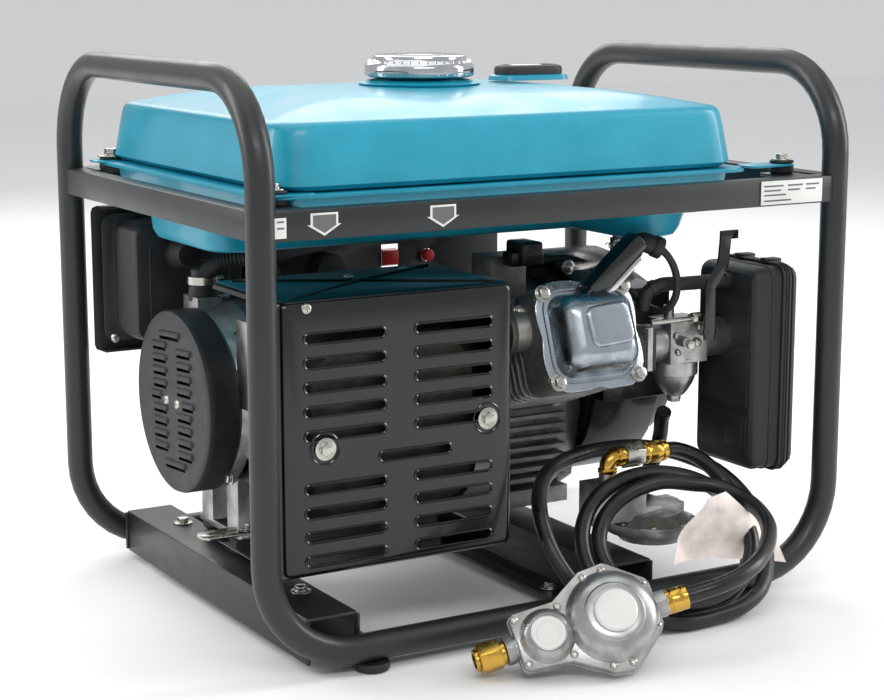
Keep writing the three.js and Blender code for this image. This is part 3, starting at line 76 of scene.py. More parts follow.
class Wire:
    """One value in a material, with the finish that it belongs to."""

    def __init__(self, finish, socket):
        self.finish = finish
        self.socket = socket


class Finish:
    """A procedural material, built round one Principled shader."""

    def __init__(self, name, **constants):
        self.material = bpy.data.materials.new(name)
        self.material.use_nodes = True
        self.tree = self.material.node_tree
        self.shader = self.tree.nodes["Principled BSDF"]
        self.give(**constants)

    def node(self, kind, settings, *values, out=0):
        made = self.tree.nodes.new(kind)
        for key, value in settings.items():
            if key == "stops":
                ramp = made.color_ramp.elements
                while len(ramp) < len(value):
                    ramp.new(0.5)
                for stop, (place, colour) in zip(ramp, value):
                    stop.position = place
                    stop.color = colour
            else:
                setattr(made, key, value)
        for index, value in enumerate(values):
            self.feed(made.inputs[index], value)
        return Wire(self, made.outputs[out])

    def feed(self, socket, value):
        if isinstance(value, Wire):
            self.tree.links.new(value.socket, socket)
        elif value is not None:
            socket.default_value = value

    def give(self, **values):
        for key, value in values.items():
            self.feed(self.shader.inputs[key.replace("_", " ").title().replace("Ior", "IOR")], value)

    def place(self, stretch=(1, 1, 1)):
        where = self.node("ShaderNodeTexCoord", {}, out=3)
        return self.node("ShaderNodeMapping", {}, where, (0, 0, 0), (0, 0, 0), stretch)

    def noise(self, scale, detail=3.0, stretch=(1, 1, 1)):
        return self.node("ShaderNodeTexNoise", {}, self.place(stretch), None, scale, detail, 0.55)

    def cells(self, scale):
        return self.node("ShaderNodeTexVoronoi", {}, self.place(), None, scale)

    def ramp(self, wire, low, high, start=0.35, end=0.65):
        return self.node(
            "ShaderNodeValToRGB", {"stops": [(start, (*low, 1)), (end, (*high, 1))]}, wire)

    def span(self, wire, low, high, start=0.35, end=0.65):
        return self.node("ShaderNodeMapRange", {}, wire, start, end, low, high)

    def relief(self, height, depth, strength=1.0):
        self.give(normal=self.node("ShaderNodeBump", {}, strength, depth, None, height))


def srgb(red, green, blue):
    """A paint chip's 0 to 255 numbers as linear light."""
    out = []
    for part in (red, green, blue):
        part /= 255
        out.append(part / 12.92 if part <= 0.04045 else ((part + 0.055) / 1.055) ** 2.4)
    return tuple(out)


# ---------------------------------------------------------------- finishes


def painted(name, colour, roughness, coat=0.0, peel=700, depth=0.00004):
    finish = Finish(name, coat_roughness=0.08)
    cloud = finish.noise(22, 4)
    lighter = tuple(min(1, part * 1.12 + 0.002) for part in colour)
    finish.give(
        base_color=finish.ramp(cloud, colour, lighter),
        roughness=finish.span(cloud, roughness * 0.88, roughness * 1.12),
        coat_weight=coat)
    finish.relief(finish.noise(peel, 2), depth, 0.5)
    return finish.material


def moulded(name, colour, roughness, grain=1600, depth=0.00012):
    finish = Finish(name)
    cloud = finish.noise(35, 4)
    dusty = tuple(part * 1.25 + 0.003 for part in colour)
    finish.give(
        base_color=finish.ramp(cloud, colour, dusty),
        roughness=finish.span(cloud, roughness - 0.06, roughness + 0.06))
    finish.relief(finish.cells(grain), depth, 0.6)
    return finish.material


def casting(name, colour, roughness, grit=900, depth=0.0002, metallic=0.85):
    finish = Finish(name, metallic=metallic)
    cloud = finish.noise(60, 5)
    grime = tuple(part * 0.62 for part in colour)
    finish.give(
        base_color=finish.ramp(cloud, grime, colour, 0.3, 0.6),
        roughness=finish.span(cloud, roughness + 0.12, roughness - 0.05))
    finish.relief(finish.noise(grit, 4), depth, 0.8)
    return finish.material


def drawn_metal(name, colour, roughness, stretch=(1, 1, 14), depth=0.00003):
    finish = Finish(name, metallic=1.0)
    lines = finish.noise(260, 3, stretch)
    worn = finish.noise(45, 4)
    dull = tuple(part * 0.8 for part in colour)
    finish.give(
        base_color=finish.ramp(worn, dull, colour),
        roughness=finish.span(lines, roughness * 0.7, roughness * 1.3))
    finish.relief(lines, depth, 0.4)
    return finish.material


def supple(name, colour, roughness, depth=0.00008):
    finish = Finish(name)
    cloud = finish.noise(40, 4)
    bloom = tuple(part * 1.5 + 0.004 for part in colour)
    finish.give(
        base_color=finish.ramp(cloud, colour, bloom),
        roughness=finish.span(cloud, roughness - 0.08, roughness + 0.1))
    finish.relief(finish.noise(1200, 3), depth, 0.5)
    return finish.material


frame_coat = painted("frame_coat", srgb(27, 29, 30), 0.42, 0.12, 900, 0.00005)
tank_paint = painted("tank_paint", srgb(20, 146, 172), 0.4, 0.2, 420, 0.00003)
black_enamel = painted("black_enamel", srgb(5, 5, 6), 0.16, 0.2, 300, 0.00005)
housing_paint = painted("housing_paint", srgb(14, 15, 16), 0.34, 0.25, 500, 0.00005)
dark_plastic = moulded("dark_plastic", srgb(31, 32, 34), 0.52)
panel_plastic = moulded("panel_plastic", srgb(30, 31, 33), 0.45, 1200)
cast_alloy = casting("cast_alloy", srgb(156, 153, 150), 0.44)
bright_alloy = casting("bright_alloy", srgb(178, 178, 176), 0.32, 1400, 0.00006, 0.95)
cover_zinc = casting("cover_zinc", srgb(176, 184, 192), 0.24, 500, 0.00003, 1.0)
cap_chrome = drawn_metal("cap_chrome", srgb(206, 209, 212), 0.1, depth=0.00001)
plated_steel = drawn_metal("plated_steel", srgb(196, 194, 186), 0.25)
dark_iron = casting("dark_iron", srgb(92, 86, 80), 0.55, 700, 0.0002, 0.8)
yellow_brass = drawn_metal("yellow_brass", srgb(214, 170, 78), 0.22)
black_rubber = supple("black_rubber", srgb(22, 22, 22), 0.55)
hose_rubber = supple("hose_rubber", srgb(17, 17, 18), 0.32)
red_plastic = moulded("red_plastic", srgb(178, 30, 24), 0.35, 900, 0.00004)
green_plastic = moulded("green_plastic", srgb(30, 92, 60), 0.4)
pale_plate = painted("pale_plate", srgb(214, 214, 210), 0.45, 0.2)
grey_ink = painted("grey_ink", srgb(92, 94, 96), 0.5)
tag_paper = supple("tag_paper", srgb(226, 214, 208), 0.8)
filter_foam = moulded("filter_foam", srgb(40, 38, 36), 0.95, 500, 0.0008)
# Near-black painted shade, standing in for the shaded inside seen through the end cap's slits.
painted_shade_black = moulded("painted_shade_black", srgb(6, 6, 6), 0.9)

# ---------------------------------------------------------------- bench tools


def point(x, y, z):
    return Vector((x, y, z)) * MM


def at(x=0, y=0, z=0, turn=(0, 0, 0)):
    """A place in millimetres, turned by degrees."""
    turned_by = Euler([math.radians(angle) for angle in turn])
    return Matrix.Translation(point(x, y, z)) @ turned_by.to_matrix().to_4x4()


def alone(*pieces):
    bpy.ops.object.select_all(action="DESELECT")
    for piece in pieces:
        piece.select_set(True)
    bpy.context.view_layer.objects.active = pieces[0]


def baked(piece, place=None):
    if place is not None:
        piece.matrix_world = place @ piece.matrix_world
    alone(piece)
    bpy.ops.object.transform_apply(location=True, rotation=True, scale=True)
    return piece


def placed(piece, place):
    return piece if place is None else baked(piece, place)


def modified(piece, kind, **settings):
    alone(piece)
    modifier = piece.modifiers.new(kind, kind)
    for key, value in settings.items():
        setattr(modifier, key, value)
    bpy.ops.object.modifier_apply(modifier=modifier.name)
    return piece


def softened(piece, width, rounds=2, angle=35):
    return modified(
        piece, "BEVEL", width=width * MM, segments=rounds, limit_method="ANGLE",
        angle_limit=math.radians(angle), harden_normals=False)


def joined(name, *pieces):
    alone(*pieces)
    if len(pieces) > 1:
        bpy.ops.object.join()
    pieces[0].name = name
    pieces[0].data.name = name
    return pieces[0]


def carved(piece, *tools):
    """Cuts the tools out of the piece; the tools are used up."""
    tool = joined("tool", *tools) if len(tools) > 1 else tools[0]
    modified(piece, "BOOLEAN", object=tool, operation="DIFFERENCE", solver="EXACT", use_self=True)
    bpy.data.objects.remove(tool)
    return piece


class Edit:
    """Edit mode on one piece, with all of it or nothing selected to start with."""

    def __init__(self, piece, kind="FACE", whole=False):
        self.piece = piece
        self.kind = kind
        self.start = "SELECT" if whole else "DESELECT"

    def __enter__(self):
        alone(self.piece)
        bpy.ops.object.mode_set(mode="EDIT")
        bpy.ops.mesh.select_mode(type=self.kind)
        bpy.ops.mesh.select_all(action=self.start)
        return self

    def __exit__(self, *problem):
        bpy.ops.object.mode_set(mode="OBJECT")

    def pick(self, wanted):
        """Selects the faces whose middle (in millimetres) and normal pass the test."""
        mesh = bmesh.from_edit_mesh(self.piece.data)
        for face in mesh.faces:
            face.select_set(bool(wanted(face.calc_center_median() / MM, face.normal)))
        mesh.select_flush_mode()
        bmesh.update_edit_mesh(self.piece.data)


def outward():
    """Turns the faces of the piece in edit mode outwards."""
    bpy.ops.mesh.select_all(action="SELECT")
    bpy.ops.mesh.normals_make_consistent(inside=False)


def merged(piece, gap=0.000002):
    """Joins the piece's doubled points."""
    with Edit(piece, "VERT", whole=True):
        bpy.ops.mesh.remove_doubles(threshold=gap)
        bpy.ops.mesh.normals_make_consistent(inside=False)
    return piece


def cuboid(name, low, high, soft=0.0, rounds=2):
    size = [b - a for a, b in zip(low, high)]
    middle = [(a + b) / 2 for a, b in zip(low, high)]
    bpy.ops.mesh.primitive_cube_add(size=1, location=point(*middle), scale=point(*size))
    piece = baked(bpy.context.object)
    piece.name = name
    return softened(piece, soft, rounds) if soft else piece


def drum(name, foot, head, radius, sides=32, soft=0.0, tip=None):
    """A cylinder, or a cone with its own tip radius, between two points."""
    foot, head = Vector(foot), Vector(head)
    axis = head - foot
    bpy.ops.mesh.primitive_cone_add(
        vertices=sides, radius1=radius * MM, radius2=(radius if tip is None else tip) * MM,
        depth=axis.length * MM, location=(foot + head) / 2 * MM,
        rotation=axis.to_track_quat("Z", "Y").to_euler())
    piece = baked(bpy.context.object)
    piece.name = name
    return softened(piece, soft) if soft else piece


def drawn(name, points):
    """A chain of edges, pulled out point by point from one vertex."""
    bpy.ops.mesh.primitive_plane_add(size=MM)
    piece = bpy.context.object
    piece.name = name
    with Edit(piece, "VERT", whole=True):
        bpy.ops.mesh.merge(type="CENTER")
        bpy.ops.transform.translate(value=point(*points[0]))
        for before, after in zip(points, points[1:]):
            step = point(*after) - point(*before)
            bpy.ops.mesh.extrude_region_move(TRANSFORM_OT_translate={"value": step})
    return piece


def turned(name, profile, place=None, steps=48):
    """A profile of (radius, height) pairs spun about Z, then put in its place."""
    piece = drawn(name, [(radius, 0, height) for radius, height in profile])
    with Edit(piece, "VERT", whole=True):
        bpy.ops.mesh.spin(steps=steps, angle=math.tau, center=(0, 0, 0), axis=(0, 0, 1))
    return placed(merged(piece), place)


def board(name, points, thick, place=None, soft=0.0):
    """A flat outline in XY with a thickness along Z."""
    piece = drawn(name, [(x, y, 0) for x, y in points])
    with Edit(piece, "VERT", whole=True):
        bpy.ops.mesh.edge_face_add()
        bpy.ops.mesh.extrude_region_move(TRANSFORM_OT_translate={"value": (0, 0, thick * MM)})
        outward()
    if soft:
        softened(piece, soft)
    return placed(piece, place)


def pressed(name, half_x, half_y, corner, steps, place=None, rounds=5, middle=(0, 0), base=0.0):
    """A rounded rectangle raised in steps of (rise, inset), like a deep drawing."""
    bpy.ops.mesh.primitive_plane_add(size=2, location=point(*middle, base))
    bpy.context.object.scale = (half_x * MM, half_y * MM, 1)
    piece = baked(bpy.context.object)
    piece.name = name
    with Edit(piece, "VERT", whole=True):
        if corner:
            bpy.ops.mesh.bevel(offset=corner * MM, segments=rounds, affect="VERTICES")
        bpy.ops.mesh.select_mode(type="FACE")
        bpy.ops.mesh.select_all(action="SELECT")
        inset = 0
        for rise, grow in steps:
            bpy.ops.mesh.extrude_region_move(TRANSFORM_OT_translate={"value": (0, 0, rise * MM)})
            if grow:
                bpy.ops.transform.resize(value=(
                    (half_x - inset - grow) / (half_x - inset), (half_y - inset - grow) / (half_y - inset), 1),
                    center_override=point(*middle, 0))
                inset += grow
        outward()
    return placed(piece, place)


def circle(radius, steps):
    """A circle's points, about nought."""
    angles = [math.tau * step / steps for step in range(steps)]
    return [(radius * math.cos(angle), radius * math.sin(angle)) for angle in angles]


def rail_of(points, smooth=False, name="line"):
    """A curve object through points given in millimetres."""
    data = bpy.data.curves.new(name, "CURVE")
    data.dimensions = "3D"
    spline = data.splines.new("NURBS" if smooth else "POLY")
    spline.points.add(len(points) - 1)
    for knot, spot in zip(spline.points, points):
        knot.co = (*point(*spot), 1)
    if smooth:
        spline.order_u = 4
        spline.use_endpoint_u = True
        spline.resolution_u = 6
    curve = bpy.data.objects.new(name, data)
    bpy.context.scene.collection.objects.link(curve)
    return curve


def tube(name, points, radius, sides=16, smooth=False, closed=False):
    curve = rail_of(points, smooth, name)
    curve.data.bevel_depth = radius * MM
    curve.data.bevel_resolution = max(1, sides // 4 - 1)
    curve.data.use_fill_caps = not closed
    curve.data.splines[0].use_cyclic_u = closed
    alone(curve)
    bpy.ops.object.convert(target="MESH")
    piece = bpy.context.object
    piece.name = name
    return merged(piece)


def bent(corners, radius, steps=10):
    """A polyline's points with its inner corners bent to one radius."""
    corners = [Vector(c) for c in corners]
    line = [corners[0]]
    for before, here, after in zip(corners, corners[1:], corners[2:]):
        back, ahead = (before - here).normalized(), (after - here).normalized()
        half = back.angle(ahead) / 2
        start = here + back * (radius / math.tan(half))
        middle = here + (back + ahead).normalized() * (radius / math.sin(half))
        axis = ahead.cross(back).normalized()
        for step in range(steps + 1):
            spoke = start - middle
            spoke.rotate(Matrix.Rotation((math.pi - 2 * half) * step / steps, 3, axis))
            line.append(middle + spoke)
    return line + [corners[-1]]


def done(piece, material, body="frame", stands_for=(), angle=35):
    """Gives a finished piece its material, its shading and the body it rides on."""
    piece.data.materials.clear()
    piece.data.materials.append(material)
    alone(piece)
    bpy.ops.object.shade_smooth_by_angle(angle=math.radians(angle))
    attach(piece, body)
    if stands_for:
        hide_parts(*stands_for)
    return piece


def refined(node, material, soft=0.6, body="frame", angle=35):
    """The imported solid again, with its triangles merged and its edges broken."""
    piece = frame["nodes"][node].copy()
    piece.data = frame["nodes"][node].data.copy()
    piece.parent = None
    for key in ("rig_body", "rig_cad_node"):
        del piece[key]
    piece.name = node + "_shape"
    bpy.context.scene.collection.objects.link(piece)
    with Edit(piece, "VERT", whole=True):
        bpy.ops.mesh.remove_doubles(threshold=0.00001)
        bpy.ops.mesh.dissolve_limited(angle_limit=math.radians(1))
    if soft:
        softened(piece, soft, 2, 30)
    return done(piece, material, body, [node], angle)


def bolt(name, place, size=5, washer=9, height=4.5):
    """A hexagon-headed bolt with a washer; local Z leads out of the work."""
    disc = drum("washer", (0, 0, 0), (0, 0, 1.2), washer, 28, 0.3)
    head = drum("head", (0, 0, 1.2), (0, 0, 1.2 + height), size * 1.12, 6, 0.5)
    boss = drum("boss", (0, 0, 1.1), (0, 0, 2.2), size * 1.15, 24, 0.3)
    return baked(joined(name, disc, head, boss), place)


def screw(name, place, radius=4.0, height=2.4):
    """A pan-headed screw with a cross slot."""
    head = turned("head", [
        (0, height), (radius * 0.5, height * 0.94), (radius * 0.85, height * 0.62), (radius, 0), (0, 0)], None, 20)
    cross = joined(
        "cross", cuboid("a", (-radius * 0.55, -0.45, height * 0.45), (radius * 0.55, 0.45, height + 1)),
        cuboid("b", (-0.45, -radius * 0.55, height * 0.45), (0.45, radius * 0.55, height + 1)))
    return baked(joined(name, carved(head, cross)), place)

SHAFT_Y = 40
SHAFT_Z = 187


def bolt_ring(name, x, radius, angles, side, *sizes):
    """Bolts round the crankshaft, with their heads towards one end of the machine."""
    made = []
    for angle in angles:
        turn = math.radians(angle)
        made.append(bolt(name, at(
            x, SHAFT_Y + radius * math.sin(turn), SHAFT_Z + radius * math.cos(turn), (0, 90 * side, 0)), *sizes))
    return made


# ---------------------------------------------------------------- gas hose

HOSE_LEAD = [
    (144.6, -150, 133), (156, -150, 132.6), (182, -154, 122), (200, -166, 102), (206, -186, 76),
    (201, -206, 53), (185, -224, 32), (160, -233, 14), (130, -233, 7.8), (90, -232, 7.8),
    (52, -231, 11.5), (18, -230, 27), (-4, -222, 49), (-14, -205, 74), (-12, -184, 98), (4, -158, 116),
    (32, -134, 126), (70, -118, 130), (112, -110, 130), (152, -112, 127), (186, -124, 118),
    (211, -146, 104), (223, -172, 84), (220, -201, 60), (204, -230, 38), (181, -250, 21),
    (152, -259, 11), (120, -261, 8)]
HOSE_TAIL = [
    (139, -201, 113), (160, -213, 110), (171, -234, 103), (170, -260, 96), (159, -285, 89),
    (138, -308, 81.5), (113, -326, 75.5), (87, -335, 69.5), (62, -334.3, 63.8), (49.6, -330.6, 60.8),
    (38, -327.25, 58.2)]
HOSE_BORE = 14.2


COIL_LEAN = 40
COIL_TURN = 12


def coil_point(angle):
    """A turn and a half of hose, each turn inside and in front of the one before it."""
    turns = (270 - angle) / 360
    across = 80 - 8 * turns
    along = 75 - 14 * turns
    spin = math.radians(angle)
    proud = 17.5 * turns * (1 + math.cos(spin)) / 2
    lean = math.radians(COIL_LEAN)
    aside = math.radians(COIL_TURN)
    side = 8 * turns + across * math.cos(spin)
    climb = 14.8 * turns + along * (1 + math.sin(spin))
    forward = proud * math.cos(lean) - climb * math.sin(lean)
    return (
        88 + side * math.cos(aside) - forward * math.sin(aside),
        -261 - side * math.sin(aside) - forward * math.cos(aside),
        7.9 + climb * math.cos(lean) + proud * math.sin(lean))


def smoothed(knots, gap=6):
    """Points every few millimetres on one smooth curve through the knots."""
    knots = [Vector(k) for k in knots]
    knots = [2 * knots[0] - knots[1]] + knots + [2 * knots[-1] - knots[-2]]
    line = []
    for a, b, c, d in zip(knots, knots[1:], knots[2:], knots[3:]):
        spans = [max((q - p).length ** 0.5, 1e-6) for p, q in ((a, b), (b, c), (c, d))]
        times = [0, spans[0], spans[0] + spans[1], sum(spans)]
        count = max(1, round((c - b).length / gap))
        for step in range(count):
            t = times[1] + spans[1] * step / count
            level = [a, b, c, d]
            for depth in (1, 2, 3):
                nearer = []
                for i in range(len(level) - 1):
                    low, high = (times[i], times[i + depth]) if depth < 3 else (times[1], times[2])
                    share = (t - low) / (high - low)
                    nearer.append(level[i] * (1 - share) + level[i + 1] * share)
                level = nearer
            line.append(level[0])
    return line + [knots[-2]]


hose_line = smoothed(HOSE_LEAD + [coil_point(angle) for angle in range(270, -271, -15)] + HOSE_TAIL)
gas_hose = tube("gas_hose", hose_line, HOSE_BORE / 2, 20)
done(gas_hose, hose_rubber, "frame", ["hose_lead", "hose_coil", "hose_tail"])

# ---------------------------------------------------------------- frame

RAIL_Y = 208
HOOP_X = 288
TUBE = 12
TUBE_BEND = 80
SPLIT_Z = 118.2
GRIP_Z = 484
BELT_LOW = 361
BELT_HIGH = 385
BELT_LEDGE = 382
BELT_Y = 216
BELT_X = 296
EAR_X = (-260, 254)
EAR_Y = (-174, 174)


def painted_bar(side, web, leg):
    """An angle-iron belt bar, from the two corners of each leg."""
    bar = joined(f"{side}_belt_bar", cuboid("web", *web, 1.2), cuboid("leg", *leg, 0.8))
    done(bar, frame_coat, "frame", [f"belt_{side}"])


for side, end in (("left", -1), ("right", 1)):
    hoop = tube(f"{side}_hoop_tube", bent([
        (end * HOOP_X, -RAIL_Y, SPLIT_Z), (end * HOOP_X, -RAIL_Y, GRIP_Z),
        (end * HOOP_X, RAIL_Y, GRIP_Z), (end * HOOP_X, RAIL_Y, SPLIT_Z)], TUBE_BEND), TUBE, 40)
    done(hoop, frame_coat, "frame", [f"{side}_hoop"])
for side, end in (("front", -1), ("rear", 1)):
    rail = tube(f"{side}_rail_tube", bent([
        (-HOOP_X, end * RAIL_Y, SPLIT_Z), (-HOOP_X, end * RAIL_Y, 20),
        (HOOP_X, end * RAIL_Y, 20), (HOOP_X, end * RAIL_Y, SPLIT_Z)], TUBE_BEND), TUBE, 40)
    done(rail, frame_coat, "frame", [f"{side}_rail"])
    web = sorted((end * BELT_Y, end * (BELT_Y - 3)))
    leg = sorted((end * (BELT_Y - 1), end * (BELT_Y - 18)))
    painted_bar(
        side, ((-HOOP_X, web[0], BELT_LOW), (HOOP_X, web[1], BELT_HIGH)),
        ((-HOOP_X, leg[0], BELT_LEDGE), (HOOP_X, leg[1], BELT_HIGH)))
for side, end in (("left", -1), ("right", 1)):
    web = sorted((end * BELT_X, end * (BELT_X - 3)))
    leg = sorted((end * (BELT_X - 1), end * (BELT_X - 18)))
    painted_bar(
        side, ((web[0], -205, BELT_LOW), (web[1], 205, BELT_HIGH)),
        ((leg[0], -199, BELT_LEDGE), (leg[1], 199, BELT_HIGH)))

cleats = []
for x in EAR_X:
    for near, far in ((-198.36, -160), (174, 198.36)):
        cleats.append(cuboid("cleat", (x - 14, near, 382.2), (x + 14, far, 384.8), 0.8))
done(joined("tank_cleats", *cleats), frame_coat, "frame")

refined("alternator_pan", frame_coat, 1.4)
refined("engine_pan", frame_coat, 1.4)
for number in (1, 2, 3, 4):
    refined(f"rubber_foot_{number}", black_rubber, 1.2)

welds = []
for x in (-246, -200, 52, 98):
    for y in (-196, 196):
        welds.append(tube("weld", [(x, y, 10), (x, y, 24), (x, y, 38), (x, y, 46)], 2.2, 8, smooth=True))
done(joined("pan_welds", *welds), frame_coat, "frame")

hardware = [
    bolt("tank_bolt", at(-260, -174, 397)), bolt("tank_bolt", at(-260, 174, 397), 6, 13, 6),
    bolt("tank_bolt", at(254, -174, 397)), bolt("tank_bolt", at(254, 174, 397))]
hardware += [bolt("pan_bolt", at(x, y, 11.2)) for x in (-185, 37) for y in (-126, 126)]
hardware += [bolt("pan_bolt", at(-217, y, 48.2)) for y in (126, -126)]
done(joined("frame_bolts", *hardware), plated_steel)
pads = []
for x in EAR_X:
    for y in EAR_Y:
        pads.append(drum("pad", (x, y, 385.2), (x, y, 391.7), 11, 28, 1))
        pads.append(drum("cap", (x, y, 394.3), (x, y, 397), 11, 28, 1))
done(joined("tank_grommets", *pads), black_rubber, "frame")

plates = [
    cuboid("plate", (196, -BELT_Y - 1, 362.5), (266, -BELT_Y - 0.1, 383.5), 0.3),
    cuboid("plate", (-280, -BELT_Y - 1, 364), (-270, -BELT_Y - 0.1, 380), 0.3)]
done(joined("belt_plates", *plates), pale_plate)
marks = []
MARK_X = (-237, -130)
for x in MARK_X:
    marks.append(board("mark", [(-12, 9), (12, 9), (12, 0), (15, 0), (0, -9), (-15, 0), (-12, 0)], 0.6,
                       at(x, -BELT_Y - 0.1, 373, (90, 0, 0)), 0.2))
done(joined("belt_marks", *marks), pale_plate)
inlays = []
for x in MARK_X:
    inlays.append(board("inlay", [(-10, 7.4), (10, 7.4), (10, -1), (0, -6.8), (-10, -1)], 0.3,
                        at(x, -BELT_Y - 0.7, 373, (90, 0, 0))))
for x0, x1, z in ((199, 221, 379), (199, 218, 375), (199, 224, 371), (226, 243, 379), (226, 240, 375),
                  (247, 262, 379), (247, 258, 375), (199, 230, 366), (-278, -272, 377), (-278, -272, 372)):
    inlays.append(cuboid("stripe", (x0, -BELT_Y - 1.2, z - 0.7), (x1, -BELT_Y - 0.9, z + 0.7)))
done(joined("belt_inlays", *inlays), grey_ink)

# ---------------------------------------------------------------- tank

TANK_X = -31
TANK_Z = 392
CAP_X = -28
shell = pressed("tank_shell", 231, 186, 30, [
    (3, 0), (22, 3.2), (22, 3.4), (5, 1.6), (2.6, 2.4), (1.2, 3.5), (0.9, 5), (3.5, 16), (4, 22),
    (3.6, 24), (2.6, 24), (1.3, 20), (0.5, 14)], at(TANK_X, 0, TANK_Z + 1), 6)
modified(shell, "SUBSURF", levels=1, render_levels=1)
with Edit(shell) as edit:
    edit.pick(lambda middle, normal: middle.z < TANK_Z + 1.2)
    bpy.ops.mesh.delete(type="FACE")
modified(shell, "SOLIDIFY", thickness=1.6 * MM, offset=-1)
flange = pressed("tank_flange", 240, 188, 24, [(2.4, 0)], at(TANK_X, 0, TANK_Z - 1.2), 6)
ears = [flange]
for x in (-253, 235.5):
    for y in EAR_Y:
        ears.append(pressed("ear", 26, 14, 9, [(2, 0)], at(x, y, TANK_Z), 5))
flange = softened(joined("tank_flange", *ears), 0.7, 2)
neck = turned("neck", [(24, 64), (24, 86.6), (25.8, 86.6), (26.4, 80.5), (32, 79.6), (46, 77.8), (56, 75),
                       (52, 71), (24, 68), (24, 64)], at(CAP_X, 0, TANK_Z))
seat = pressed("gauge_seat", 38, 19, 12, [(4, 1), (1.2, 2)], at(90, 0, TANK_Z + 74.5), 5)
done(joined("tank_top", shell, flange, neck, seat), tank_paint, "frame", ["tank_upper"])
refined("tank_lower", tank_paint, 1.2, angle=50)

cap = turned("cap_skirt", [
    (46, 480), (46, 473.5), (47, 472.4), (49.4, 473.6), (50, 476), (50, 482), (48.6, 484.6), (45, 486.6),
    (43.2, 488.2), (42.4, 491.2), (40.6, 492.2), (34, 491), (20, 490), (8, 489.6), (0, 489.6)], at(CAP_X, 0, 0), 96)
flutes = []
for (foot_x, foot_y), (tip_x, tip_y) in zip(circle(48.2, 36), circle(45.4, 36)):
    flutes.append(drum("flute", (CAP_X + foot_x, foot_y, 474), (CAP_X + tip_x, tip_y, 487.4), 2.3, 12, 0.6, 1.7))
under = turned("cap_under", [(0, 483), (46.2, 483), (46.2, 481), (0, 481)], at(CAP_X, 0, 0))
done(joined("cap_top", cap, under, *flutes), cap_chrome, "cap", ["fuel_cap"], 40)
refined("cap_gasket", black_rubber, 0.4, "cap_seal")
gauge = pressed("gauge_bezel", 34, 16, 14, [(5, 0), (2.4, 1.2), (1, 2.4), (0.2, 3), (-1.2, 1)],
                at(90, 0, TANK_Z + 79.9), 6)
done(gauge, dark_plastic, "frame", ["fuel_gauge"])
lens = pressed("gauge_lens", 17, 9, 6, [(2, 0.5), (0.6, 2)], at(86, 0, TANK_Z + 86.4), 5)
done(lens, black_enamel)

# ---------------------------------------------------------------- exhaust

GUARD_X = -155
GUARD_Z = 195
GUARD_Y = -190
GUARD_TOP = 310
BOLT_SPOTS = ((-225.3, 186.9), (-71.6, 195.2))
guard = cuboid("guard_sheet", (-265, GUARD_Y, 80), (-45, -62, GUARD_TOP))
with Edit(guard) as edit:
    edit.pick(lambda middle, normal: normal.y > 0.5)
    bpy.ops.mesh.delete(type="FACE")
modified(guard, "BEVEL", width=8 * MM, segments=5, limit_method="ANGLE", angle_limit=math.radians(60))
modified(guard, "SOLIDIFY", thickness=1.8 * MM, offset=-1)
slots = [(side * 51, 83 - row * 20, 37) for side in (-1, 1) for row in range(5)]
slots += [(side * 51, -41 - row * 20, 37) for side in (-1, 1) for row in range(4)]
slots.append((14, -21, 34))
cutters = []
lips = []
LIP = 4.4
for x, y, half in slots:
    cutters.append(pressed("slot", half, 3.6, 3.4, [(14, 0)], at(GUARD_X + x, GUARD_Y + 6, GUARD_Z + y, (90, 0, 0)), 5))
    rim = []
    for end in (1, -1):
        for step in range(9):
            angle = math.pi * step / 8
            rim.append((
                GUARD_X + x + end * (half - 4) + end * LIP * math.sin(angle), GUARD_Y - 0.2,
                GUARD_Z + y + LIP * math.cos(angle) * end))
    lips.append(tube("lip", rim, 1.15, 8, closed=True))
for x, z in BOLT_SPOTS:
    cutters.append(drum("hole", (x, GUARD_Y - 4, z), (x, GUARD_Y + 6, z), 8, 28))
    lips.append(tube("dish", [(x + u, GUARD_Y, z + v) for u, v in circle(13, 32)], 1.0, 8, closed=True))
# The left side is open behind its front edge, where the end bracket shows.
cutters.append(cuboid("side_cut", (-270, -160, 84), (-256, -50, 304)))
carved(guard, *cutters)
with Edit(guard, "VERT", whole=True):
    bpy.ops.mesh.remove_doubles(threshold=0.00002)
creases = [
    tube("crease", [(-250, -182, 310.2), (-155, -120, 310.6), (-60, -70, 310.2)], 1.3, 8),
    tube("crease", [(-60, -182, 310.2), (-155, -120, 310.6), (-250, -70, 310.2)], 1.3, 8)]
done(joined("exhaust_guard", guard, *lips, *creases), black_enamel, "frame", ["muffler_cover"])
guard_bolts = [
    bolt("guard_bolt", at(x, GUARD_Y - 0.6, z, (90, 0, 0)), 5.4, 9.5, 4) for x, z in BOLT_SPOTS]
guard_bolts += [
    screw("guard_screw", at(-241, GUARD_Y - 0.6, 303, (90, 0, 0)), 4.6),
    screw("guard_screw", at(-155, -100, GUARD_TOP + 0.4), 4.6), screw("guard_screw", at(-92, -82, GUARD_TOP + 0.4), 4.6)]
done(joined("guard_bolts", *guard_bolts), plated_steel)
refined("muffler_body", dark_iron, 2.0, angle=40)

# ---------------------------------------------------------------- engine block

